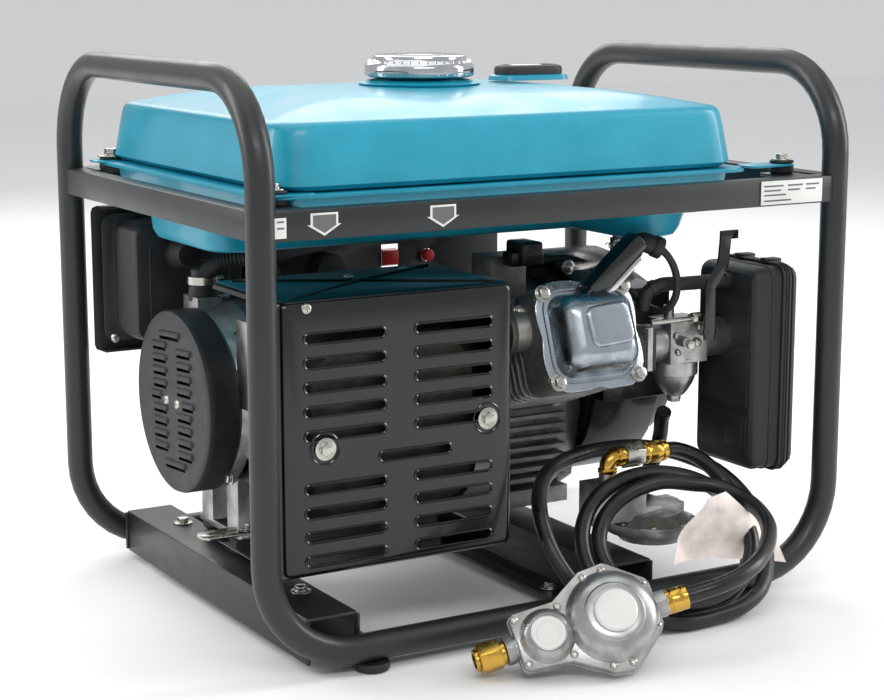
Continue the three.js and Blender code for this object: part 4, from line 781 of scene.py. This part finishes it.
for node, material, slot, soft, body in (
        ("fuel_tap", cast_alloy, "cast_alloy", 0.5, "frame"),
        ("fuel_valve_lever", black_enamel, "black_enamel", 0.4, "tap_lever"),
        ("crankcase", cast_alloy, "cast_alloy", 1.0, "frame"),
        ("oil_dipstick", dark_plastic, "black_plastic", 0.5, "dipstick"),
        ("flywheel", dark_iron, "iron", 0.6, "crank"),
        ("fan_housing", housing_paint, "black_enamel", 1.0, "frame"),
        ("recoil_cover", housing_paint, "black_enamel", 1.0, "frame"),
        ("recoil_pulley", dark_plastic, "black_plastic", 0.5, "starter_pulley"),
        ("recoil_handle", black_rubber, "rubber", 1.5, "starter_grip"),
        ("cylinder_head", cast_alloy, "cast_alloy", 0.5, "frame"),
        ("stator", dark_iron, "iron", 0.6, "frame"),
        ("end_bracket", bright_alloy, "cast_alloy", 0.8, "frame"),
        ("alternator_mount_1", black_rubber, "rubber", 0.5, "frame"),
        ("alternator_mount_2", black_rubber, "rubber", 0.5, "frame"),
        ("rotor_shaft", dark_iron, "iron", 0.5, "crank"),
        ("carburettor", bright_alloy, "cast_alloy", 0.8, "frame"),
        ("choke_lever", black_enamel, "black_enamel", 0.6, "choke"),
        ("air_box_base", dark_plastic, "black_plastic", 1.5, "frame"),
        ("air_box_lid", dark_plastic, "black_plastic", 1.5, "filter_lid"),
        ("air_filter", filter_foam, "foam", 1.5, "frame"),
        ("control_panel", panel_plastic, "black_plastic", 1.0, "frame"),
        ("socket_flap_1", dark_plastic, "black_plastic", 1.0, "flap_1"),
        ("socket_flap_2", dark_plastic, "black_plastic", 1.0, "flap_2"),
        ("engine_switch", red_plastic, "red_plastic", 0.6, "rocker"),
        ("breaker_button", red_plastic, "red_plastic", 0.6, "breaker"),
        ("control_box", dark_plastic, "black_plastic", 1.0, "frame"),
        ("demand_regulator", bright_alloy, "cast_alloy", 0.7, "frame")):
    refined(node, material, soft, body)


def loop(half_x, half_y, corner, steps=6):
    """A rounded rectangle's outline as (x, y) points."""
    points = []
    for sx, sy, start in ((1, 1, 0), (-1, 1, 90), (-1, -1, 180), (1, -1, 270)):
        for step in range(steps + 1):
            angle = math.radians(start + 90 * step / steps)
            points.append((sx * (half_x - corner) + corner * math.cos(angle),
                           sy * (half_y - corner) + corner * math.sin(angle)))
    return points


def bead(name, points, radius=1.0, sides=8, place=None):
    """A closed raised line."""
    piece = tube(name, points, radius, sides, closed=True)
    return placed(piece, place)


def ribbed(name, knots, radius, pitch=2.6, depth=0.84, sides=16):
    """Corrugated conduit along a smooth route."""
    line = smoothed(knots, pitch / 2)
    curve = rail_of(line, False, name)
    for index, knot in enumerate(curve.data.splines[0].points):
        knot.radius = depth if index % 2 else 1.0
    curve.data.bevel_depth = radius * MM
    curve.data.bevel_resolution = sides // 4 - 1
    curve.data.use_fill_caps = True
    alone(curve)
    bpy.ops.object.convert(target="MESH")
    return bpy.context.object


# Valve cover, in the cylinder's own frame: Z leads out along its axis.
HEAD = at(57, 40, 179, (70, 0, 0)) @ at(0, 0, 205.3)


def lobed(angle):
    """The flange's edge: a rectangle pulled in between its four bolts."""
    turn = math.radians(angle)
    cx, cy = math.cos(turn), math.sin(turn)
    reach = min(54 / max(abs(cx), 1e-6), 50 / max(abs(cy), 1e-6))
    corner = abs(math.sin(2 * turn)) ** 1.5
    waist = (47.5 + 14.5 * corner) if abs(cx) < abs(cy) else (50.5 + 11.5 * corner)
    size = min(reach, waist)
    return size * cx, size * cy


flange = board("cover_flange", [lobed(angle) for angle in range(0, 360, 6)], 3, HEAD, 1.0)
dome = pressed("cover_dome", 42, 39, 17, [
    (2, 1.6), (3, 0.8), (12, 2.2), (6, 3.2), (4.5, 5.5), (1.6, 4), (0.4, 2)], HEAD @ at(0, 0, 1.5), 7)
modified(dome, "SUBSURF", levels=2, render_levels=2)
plateau = pressed("cover_plateau", 24, 20, 9, [(2.4, 1.2), (1.4, 1.6), (0.5, 2)], HEAD @ at(4, 3, 29.6, (0, 0, 4)), 6)
modified(plateau, "SUBSURF", levels=1, render_levels=1)
groove = bead("cover_rim", [(x, y, 3.1) for x, y in loop(44.5, 41.5, 19)], 1.2, 8, HEAD)
done(joined("valve_lid", flange, dome, plateau, groove), cover_zinc, "frame", ["valve_cover"], 45)
lid_bolts = [bolt("lid_bolt", HEAD @ at(x, y, 3.2), 5.2, 7.6, 5) for y in (40, -40) for x in (43, -43)]
lid_bolts.append(bolt("head_bolt", HEAD @ at(-52, 30, -24), 4, 6.5, 3.6))
done(joined("lid_bolts", *lid_bolts), plated_steel)

# Shroud over the plug, with its boot and lead.
slope = at(84, -150, 309.5, (0, -40.3, 0))
shroud = [baked(cuboid(name, low, high, 0.8), slope) for name, low, high in (
    ("top", (-34, -9, 5.2), (34, 9, 7)), ("front", (-34, -9.6, -8), (34, -7.8, 7)), ("tab", (-44, -9, 4), (-32, 2, 5.6)))]
done(joined("plug_shroud", *shroud), black_enamel, "frame")
strip = baked(cuboid("shroud_strip", (-30, -10.4, -14), (22, -8.8, -9), 0.6), slope)
done(strip, cap_chrome)
boot = tube("plug_boot", bent([(106, -138, 304), (114, -147, 330), (132, -153, 322)], 8, 6), 9, 24)
collar = drum("boot_collar", (127, -151.4, 324.2), (134.5, -154, 320.8), 10, 28, 1)
lead = tube("plug_cable", smoothed([
    (122, -151, 326), (138, -153, 318), (150, -152, 304), (156, -150, 288), (155, -149, 274), (151, -144, 264),
    (148, -130, 260), (147, -112, 264), (138, -96, 277), (120, -80, 292), (98, -62, 303), (76, -50, 302)], 5), 3.6, 14)
done(joined("plug_lead_shape", boot, collar, lead), black_rubber, "frame", ["plug_lead"])
breather = tube("breather_shape", smoothed([
    (134, -128, 262), (136, -130, 276), (148, -134, 284), (172, -137, 284), (200, -139, 284), (216, -140, 284),
    (224.4, -140, 284)], 4), 6.5, 20)
clips = [
    drum("clip", (140, -131.5, 280.5), (145, -133, 283), 7.4, 24, 0.5),
    drum("clip", (216, -140, 284), (221, -140, 284), 7.6, 24, 0.5)]
done(joined("breather_shape", breather, *clips), black_rubber, "frame", ["breather_hose"])

# Ignition coil and its bracket, the governor's arm and its spring.
coil_block = joined(
    "ignition_block", cuboid("core", (37, -58, 299), (72, -40, 312), 1.2),
    cuboid("case", (44, -66, 300), (66, -34, 322), 3, 3))
done(coil_block, housing_paint, "frame")
arm = joined(
    "governor_arm", board("arm", [(0, -4), (52, -3), (58, 6), (62, 22), (56, 22), (50, 6), (46, 3), (0, 4)], 1.6,
                          at(74, -86, 300, (90, 0, 0)), 0.4),
    bolt("arm_bolt", at(78, -88, 300, (90, 0, 0)), 4, 7, 4))
done(arm, plated_steel)
SPRING_RADIUS = 2.6
SPRING_STEP = 0.62
spring = []
for step in range(60):
    angle = step * math.tau / 6
    spring.append((
        118 + step * SPRING_STEP, -93 + SPRING_RADIUS * math.cos(angle), 318 + SPRING_RADIUS * math.sin(angle)))
done(tube("governor_spring", spring, 0.5, 8), plated_steel)

# ---------------------------------------------------------------- intake

BOWL_X = 172
BOWL_Y = -127.9
CARB_SIDE = -149
bowl = turned("float_bowl", [
    (0, -54.4), (5, -54.4), (6.4, -53), (6.4, -49.5), (9, -48.6), (12, -45), (17, -37), (18.6, -33), (19.4, -29),
    (21.4, -28.4), (21.6, -26), (21.6, -16), (20, -15), (0, -15)], at(BOWL_X, BOWL_Y, 227.5), 48)
done(bowl, bright_alloy)
fittings = [
    drum("rod", (128, CARB_SIDE, 253), (180, CARB_SIDE, 253), 2.6, 20, 0.4),
    drum("rod_end", (174, -148, 253), (187, -148, 253), 5.6, 6, 0.8),
    drum("nut", (BOWL_X, BOWL_Y, 172), (BOWL_X, BOWL_Y, 176.8), 6, 6, 0.6)]
fittings += [screw("side_screw", at(x, CARB_SIDE, z, (90, 0, 0)), radius)
             for x, z, radius in ((158, 238, 3.4), (184, 244, 3.4), (182, 230, 4.2), (160, 222, 3))]
fittings += [
    drum("idle", (164, -150, 231.5), (164, -162, 231.5), 2.4, 16, 0.3),
    drum("idle_head", (164, -160, 231.5), (164, -163.6, 231.5), 4, 20, 0.4)]
done(joined("carburettor_fittings", *fittings), plated_steel)
gaskets = [
    cuboid("gasket", (119.6, -155, 206), (121.4, -101, 249), 0.4),
    cuboid("spacer", (127.6, -152, 209), (133, -104, 246), 1)]
done(joined("intake_spacer", *gaskets), dark_plastic)

# Ridges and rims moulded on the air box.
AIR_Y = -134
AIR_Z = 202.5
side_on = at(0, AIR_Y, AIR_Z, (90, 0, 90))
for name, body, ridges in (
        ("air_box_ridges", "frame", ((245, 44.2, 95.7, 0.9), (256.5, 46.1, 97.6, 1.2), (260.6, 46.1, 97.6, 1.0))),
        ("air_lid_ridges", "filter_lid", ((263.4, 46.2, 97.7, 1.1), (269, 44.3, 95.8, 0.9), (274, 41.6, 93.2, 0.8)))):
    rims = [bead("rim", [(x, y, 0) for x, y in loop(half_y, half_z, 12)], radius, 8, at(depth) @ side_on)
            for depth, half_y, half_z, radius in ridges]
    done(joined(name, *rims), dark_plastic, body)
inner_face = at(225, AIR_Y, AIR_Z, (90, 0, -90))
panels = []
for name, points in (
        ("upper", [(-36, 14), (36, 30), (36, 66), (-36, 66)]), ("middle", [(-36, -30), (36, -36), (36, 22), (-36, 6)]),
        ("lower", [(-36, -80), (36, -80), (36, -44), (-36, -38)])):
    panels.append(board(name, points, 1.0, inner_face, 0.5))
tag_pad = board("pad", [(6, -74), (30, -74), (30, -48), (6, -48)], 1.8, inner_face, 0.6)
done(joined("air_box_panels", *panels, tag_pad), dark_plastic)
latches = []
for y in (AIR_Y - 22, AIR_Y + 16):
    latches.append(cuboid("latch", (258, y, 300.2), (273, y + 12, 303), 0.9))
    latches.append(cuboid("hook", (255, y + 2, 299), (259, y + 10, 303.6), 0.8))
done(joined("air_box_latches", *latches), dark_plastic, "filter_lid")

# ---------------------------------------------------------------- alternator end

END = at(-232.9, SHAFT_Y, SHAFT_Z, (0, -90, 0))
shell = turned("end_cap_shell", [
    (80.4, 0), (82.5, 0), (82.5, 21), (82.5, 24.5), (81.6, 27), (79.5, 28), (73, 28), (40, 28.2), (0, 28.4),
    (0, 26), (40, 25.9), (77, 25.4), (80.4, 21), (80.4, 0)], END, 96)
slits = []
hoods = []
LOUVRE_PITCH = 11.6
rows = []
for row in range(-4, 5):
    rows += [(row * LOUVRE_PITCH, -27, 15), (row * LOUVRE_PITCH, 27, 15)] if row else [(0, -35, 12)]
rows += [(58.6, 4, 22), (-58.6, -4, 22), (0, 36, 11)]
for z, y, half in rows:
    spot = END @ at(z, y, 28, (0, 0, 94))
    slits.append(pressed("slit", half, 1.5, 1.2, [(8, 0)], spot @ at(0, 1.6, -6), 4))
    hood = pressed("hood", half + 1, 3.2, 2.6, [(0.8, 0.3), (1.2, 0.8), (0.5, 0.9)], spot @ at(0, -2.6, -0.4), 4)
    tip = turned("tip", [(0, 3.1), (1.6, 2.8), (2.8, 1.8), (3.3, 0), (0, 0)], spot @ at(-half, -2.6, -0.4), 16)
    hoods += [hood, tip]
carved(shell, *slits)
done(joined("end_cap", shell, *hoods), dark_plastic, "frame", ["end_cover"], 40)
# A near-black disc inside the end cap: painted shade seen through the slits, in place of the shaded alternator inside.
back = turned("end_cap_shade_disc", [(0, 21), (76, 21), (76, 20), (0, 20)], END, 48)
done(back, painted_shade_black)
cap_screws = [screw("cap_screw", END @ at(0, y, 28.2), 4.6) for y in (12, -12)]
bracket_bits = [bolt("foot_bolt", at(-207, 4, 71.4), 5.2, 9.5, 4.5)]
bracket_bits += [bolt("bracket_bolt", at(-238, y, 130, (0, -90, 0)), 3.6, 6, 3.4) for y in (-34, 106)]
ears = bolt_ring("stud", -207, 92, (20, 110, 200, 290), -1, 4.4, 7.2, 4.5)
plate = board(
    "slotted_foot", [(-33, -11), (24, -14), (33, -10), (33, 10), (24, 14), (-33, 11), (-38, 6), (-38, -6)], 3,
    at(-216, 2, 68.2), 0.8)
slot = pressed("slot", 17, 3.4, 3, [(8, 0)], at(-228, 2, 66), 5)
plate = carved(plate, slot)
done(joined("bracket_hardware", *bracket_bits, *ears, *cap_screws, plate), plated_steel)

# Sheet clip over the bracket's corner, the wiring boot and the corrugated conduit.
clip = joined(
    "bracket_clip",
    board("face", [(-22, -40), (18, -40), (22, -30), (22, 18), (12, 34), (-4, 38), (-22, 38)], 1.6,
          at(-206, -51, 232, (90, 0, 0)), 0.5),
    cuboid("fold", (-229, -52, 192), (-227.4, -30, 270), 0.5))
done(clip, bright_alloy)
CONDUIT_RISE = 37
BOOT_X = -218.3
BOOT_Y = 64
boot = turned("conduit_boot", [
    (0, -6), (13, -6), (13.4, -2), (12.6, 6), (11, 14), (10.4, 22), (9.2, 23), (0, 23)], at(BOOT_X, BOOT_Y, 279), 32)
gland = turned("box_gland", [
    (0, 0), (16, 0), (16.5, 3), (15.6, 5), (14.6, 12), (12, 17), (11, 26), (0, 26)],
    at(-210.3, 136.6, 307.9, (90, 0, 0)), 40)
clamp = turned("clamp", [(12.6, 0), (14, 0), (14, 7), (12.6, 7), (12.6, 0)], at(BOOT_X, BOOT_Y, 288), 32)
done(joined("conduit_ends", boot, gland), black_rubber, "frame")
done(joined("conduit_clamp", clamp, drum("screw", (-206, 64, 291.5), (-198, 64, 291.5), 3, 16, 0.4)), plated_steel)
conduit = [
    (0, 0, 0), (0, 0, 0.22), (0, -8, 0.54), (6, -28, 0.86), (22, -42, 1), (44, -34, 1), (56, -4, 0.92),
    (48, 30, 0.84), (26, 50, 0.81), (8, 64, 0.81), (8, 72, 0.81)]
route = [(BOOT_X + x, BOOT_Y + y, 278.2 + CONDUIT_RISE * z) for x, y, z in conduit]
done(ribbed("wiring_loom", route, 8, 2.8), black_rubber, "frame", ["wiring_conduit"], 60)

# Control box front, panel meter, screws and socket faces.
box_front = [bead("line", [(x, 0, z) for x, z in loop(40, 39, 8)], 1.1, 8, at(-199, 137.6, 280))]
done(joined("control_box_lines", *box_front), dark_plastic)
meter = turned("panel_meter", [(0, 0), (22, 0), (22.4, 3), (21, 5.4), (18.6, 6), (18, 4.6), (0, 4.6)],
               at(-222, 202, 286, (-90, 0, 0)), 48)
done(meter, dark_plastic)
dial = turned("meter_dial", [(0, 0), (17.6, 0), (17.6, 0.5), (0, 0.5)], at(-222, 206.7, 286, (-90, 0, 0)), 48)
done(dial, pale_plate)
needle = board("needle", [(-0.5, -2), (0.5, -2), (0.3, 13), (-0.3, 13)], 0.4, at(-222, 207.3, 281, (90, 30, 180)))
done(needle, grey_ink)
panel_screws = [screw("panel_screw", at(x, 202, z, (-90, 0, 0)), 3.6)
                for x in (-262, -45, 172) for z in (216, 340)]
panel_screws += [
    screw("box_screw", at(-262, 171.6, 225, (90, 0, 0)), 4.4),
    bolt("earth_stud", at(140, 202, 232, (-90, 0, 0)), 4, 7, 4)]
panel_screws += [screw("socket_screw", at(x, 218, 247, (-90, 0, 0)), 2.4) for x in (-130, -80, -54, -4)]
done(joined("panel_screws", *panel_screws), plated_steel)
frames = []
for x, half_x, half_z, corner in ((51, 13, 17, 4), (95, 11, 11, 10.9)):
    frames.append(bead("frame", [(x + u, 202.4, 276 + v) for u, v in loop(half_x, half_z, corner)], 1.4, 8))
done(joined("switch_frames", *frames), dark_plastic)
for body, x in (("flap_1", -105), ("flap_2", -29)):
    ring = bead(body + "_ring", [(x + u, 223, 270 + v) for u, v in loop(20, 20, 19.9)], 1.2, 8)
    done(ring, dark_plastic, body)
done(cuboid("warning_block", (-180, 190, 350), (-150, 199, 366), 1.5), green_plastic)

# Fan case and starter: bolts, ribs, and the rope with its eye.
case_bolts = bolt_ring("case_bolt", 199.6, 97, range(30, 360, 60), 1, 4, 7, 4)
done(joined("case_bolts", *case_bolts), plated_steel)
rings = [bead("ring", [(235.4, SHAFT_Y + u, SHAFT_Z + v) for u, v in circle(radius, 64)], 1.3, 8) for radius in (32, 74)]
hub = turned("hub", [(0, 0), (24, 0), (23, 3), (18, 4.4), (0, 5)], at(235.2, SHAFT_Y, SHAFT_Z, (0, 90, 0)), 48)
done(joined("starter_rings", hub, *rings), housing_paint, "frame")
eye = turned("rope_eye", [(4, 0), (8, 0), (8.4, 2), (7, 4), (4, 4.6), (4, 0)], at(217.6, 121.6, 239.4, (-75, 0, 0)), 28)
done(eye, bright_alloy)
grip_beads = [drum("rib", (x, 140.5, 244.8), (x + 3, 140.5, 244.8), 9.2, 28, 1) for x in (192, 203, 229, 240)]
done(joined("grip_ribs", *grip_beads), black_rubber, "starter_grip")
rope = tube("starter_rope", [(217.6, 100, 235), (217.6, 118, 239), (217.6, 127, 241.4), (217.6, 134, 243.3)], 2.4, 12)
done(rope, hose_rubber, "starter_grip")

# ---------------------------------------------------------------- gas parts

STEM = at(-24.5, -309.1, 44) @ at(turn=(0, 0, -25)) @ at(turn=(55, 0, 0)) @ at(turn=(0, 0, 15))
SMALL_X = -57
plate_edge = [(-84, -20), (-84, 22), (-80, 26), (-44, 27), (-15, 45), (7, 47), (12, 44), (38, 24), (40, 19), (40, -17),
           (37, -22), (8, -46), (3, -48), (-13, -46), (-44, -27), (-80, -24)]
lower = board("plate_lower", plate_edge, 6.8, STEM @ at(0, 0, -7), 1.0)
upper = board("plate_upper", [(x * 0.985 - 0.3, y * 0.975) for x, y in plate_edge], 6.6, STEM @ at(0, 0, 0.3), 1.2)
dome = turned("dome", [
    (39, 6.6), (39, 8), (37.4, 9.6), (36, 12.6), (34, 15.6), (29, 18.6), (25.4, 20), (24.6, 21.6), (23, 22.4),
    (19, 22.6), (0, 22.8), (0, 6.6), (39, 6.6)], STEM, 72)
small = turned("small_dome", [
    (23, 6.6), (23, 8), (21.6, 9.6), (20.4, 13), (18, 16), (15.6, 17), (14.6, 16), (0, 16), (0, 6.6), (23, 6.6)],
    STEM @ at(SMALL_X), 56)
rear = turned("rear_housing", [(0, -6), (28, -6), (28, -18), (26, -21), (20, -24), (0, -24), (0, -6)], STEM, 48)
spine = drum("spine", (-92, 0, -5), (38, 0, -5), 10.6, 28, 1)
hexes = [
    drum("inlet_hex", (-92, 0, -5), (-84, 0, -5), 12.4, 6, 0.8), drum("outlet_hex", (37, 0, 0), (48, 0, 0), 12, 6, 0.9)]
spine = baked(joined("spine", spine, *hexes), STEM)
done(joined("two_stage_regulator", lower, upper, dome, small, rear, spine), bright_alloy, "frame",
     ["gas_regulator"], 40)
stage_plug = turned("stage_cap", [
    (0, 22.6), (17.6, 22.6), (18, 24), (17.6, 26.6), (16, 28), (8, 28.4), (0, 28.4)], STEM, 48)
done(stage_plug, pale_plate)
badge = turned("stage_badge", [(0, 15.8), (13.6, 15.8), (13.6, 16.6), (0, 16.6)], STEM @ at(SMALL_X), 40)
badge_ring = bead("badge_ring", [(SMALL_X + u, v, 16.6) for u, v in circle(9.5, 40)], 0.5, 8, STEM)
done(joined("stage_badge", badge, badge_ring), pale_plate)
plate_screws = [screw("plate_screw", STEM @ at(x, y, 6.9), 3.5) for x, y in (
    (-79, -18), (-79, 20), (-41, 21), (-41, -21), (-13, 38), (4, 40), (33, 19), (33, -18), (3, -41), (-13, -39))]
done(joined("plate_screws", *plate_screws), plated_steel)
ferrule = turned("ferrule", [
    (0, 0), (9.6, 0), (10.4, 1), (10.4, 4), (9.8, 5), (10.4, 6), (10.4, 14), (9.9, 15), (10.4, 16), (10.2, 19.4),
    (8, 20), (0, 20)], STEM @ at(46.4, 0, 0, (0, 90, 0)), 40)
done(ferrule, yellow_brass)
hexed = drum("nut_hex", (-115, 0, -5), (-96, 0, -5), 13.4, 6, 1.0)
ring = drum("nut_neck", (-118.4, 0, -5), (-115, 0, -5), 9.4, 32, 0.8)
bore = drum("nut_bore", (-130, 0, -5), (-106, 0, -5), 6.6, 28)
nut_body = carved(joined("inlet_hex_nut", hexed, ring), bore)
nut_back = drum("nut_back", (-98, 0, -5), (-92.6, 0, -5), 10, 28, 0.8)
done(baked(joined("inlet_nut_shape", nut_body, nut_back), STEM), yellow_brass, "cylinder_nut", ["inlet_nut"])

ELBOW_X = 82
OUTLET_Y = -150
OUTLET_Z = 133
FOOT_Z = 119.4
elbow = tube("elbow", bent([
    (ELBOW_X, OUTLET_Y, FOOT_Z), (ELBOW_X, OUTLET_Y, OUTLET_Z), (98, OUTLET_Y, OUTLET_Z)], 8, 8), 7.6, 28)
elbow_bits = [
    drum("foot", (ELBOW_X, OUTLET_Y, FOOT_Z), (ELBOW_X, OUTLET_Y, 124), 9, 6, 0.6),
    drum("collar", (90, OUTLET_Y, OUTLET_Z), (98.4, OUTLET_Y, OUTLET_Z), 9.2, 32, 0.6),
    turned("hose_ferrule", [
        (0, 0), (10, 0), (10.4, 1), (10.4, 6), (9.8, 7), (10.4, 8), (10.4, 20), (9.8, 21), (10.4, 22), (10, 26.3),
        (7.4, 26.4), (0, 26.4)], at(117.8, OUTLET_Y, OUTLET_Z, (0, 90, 0)), 40)]
brass = done(joined("elbow_brass", elbow, *elbow_bits), yellow_brass, "frame", ["hose_coupling"])
elbow_nut = drum("swivel_nut", (98.2, OUTLET_Y, OUTLET_Z), (118, OUTLET_Y, OUTLET_Z), 12, 6, 1.0)
done(elbow_nut, plated_steel)
feed = tube("feed_hose_shape", smoothed([
    (166, -99.4, 68), (166, -90, 68), (170, -84, 82), (178, -92, 110), (178, -100, 134), (172, -110, 152),
    (170, -116, 160)], 5), 7.2, 20)
done(feed, hose_rubber, "frame", ["gas_feed_hose"])
lid_angles = [math.tau * step / 8 + 0.2 for step in range(8)]
vacuum_screws = [
    screw("vacuum_screw", at(132 + 38 * math.cos(a), OUTLET_Y + 38 * math.sin(a), 70.2), 3) for a in lid_angles]
done(joined("vacuum_screws", *vacuum_screws), plated_steel)

# Paper tag looped on the hose, bent a little across its length.
leaf = board("paper_tag", [
    (91, 54), (112, 78), (132, 108), (150, 112), (170, 92), (196, 84), (228, 33), (212, 36), (200, 52), (178, 46),
    (150, 50), (120, 52)], 0.5, at(0, -222, 0, (90, 0, 0)))
with Edit(leaf, "VERT", whole=True):
    bpy.ops.mesh.quads_convert_to_tris()
    bpy.ops.mesh.subdivide(number_cuts=4)
for corner in leaf.data.vertices:
    x, z = corner.co.x / MM, corner.co.z / MM
    corner.co.y += (-12 + 7 * math.sin((x - 90) / 16) + 5 * math.cos((x + 2 * z) / 21)) * MM
done(leaf, tag_paper)
band = tube("hose_label", [coil_point(angle) for angle in (42, 34, 26, 18)], HOSE_BORE / 2 + 0.35, 24)
done(band, pale_plate)

# ---------------------------------------------------------------- floor and light

floor_paint = Finish("floor_paint", base_color=(*srgb(250, 250, 250), 1), roughness=0.8).material
bpy.ops.mesh.primitive_plane_add(size=14)
floor = bpy.context.object
floor.name = "floor"
floor.data.materials.append(floor_paint)

world = bpy.data.worlds.new("studio")
bpy.context.scene.world = world
world.use_nodes = True
world.node_tree.nodes["Background"].inputs[0].default_value = (0.98, 0.99, 1.0, 1)
world.node_tree.nodes["Background"].inputs[1].default_value = 0.62


def lamp(name, spot, power, size, aim=(0, 0, 0.22)):
    data = bpy.data.lights.new(name, "AREA")
    data.energy = power
    data.shape = "RECTANGLE"
    data.size, data.size_y = size
    light = bpy.data.objects.new(name, data)
    light.location = spot
    light.rotation_euler = (Vector(aim) - Vector(spot)).to_track_quat("-Z", "Y").to_euler()
    bpy.context.scene.collection.objects.link(light)


lamp("overhead", (-0.2, 0.3, 2.6), 22, (3.2, 2.4))
lamp("left_window", (-2.2, 1.2, 1.4), 30, (0.7, 1.8))
lamp("right_window", (2.3, -1.0, 1.2), 30, (0.6, 1.8))
lamp("front_strip", (-0.9, -2.6, 2.2), 26, (2.2, 0.5))
lamp("back_light", (0.8, 2.4, 1.8), 30, (2.4, 1.2))

view = bpy.context.scene.view_settings
view.view_transform = "Standard"
view.look = "None"
view.exposure = 0.0
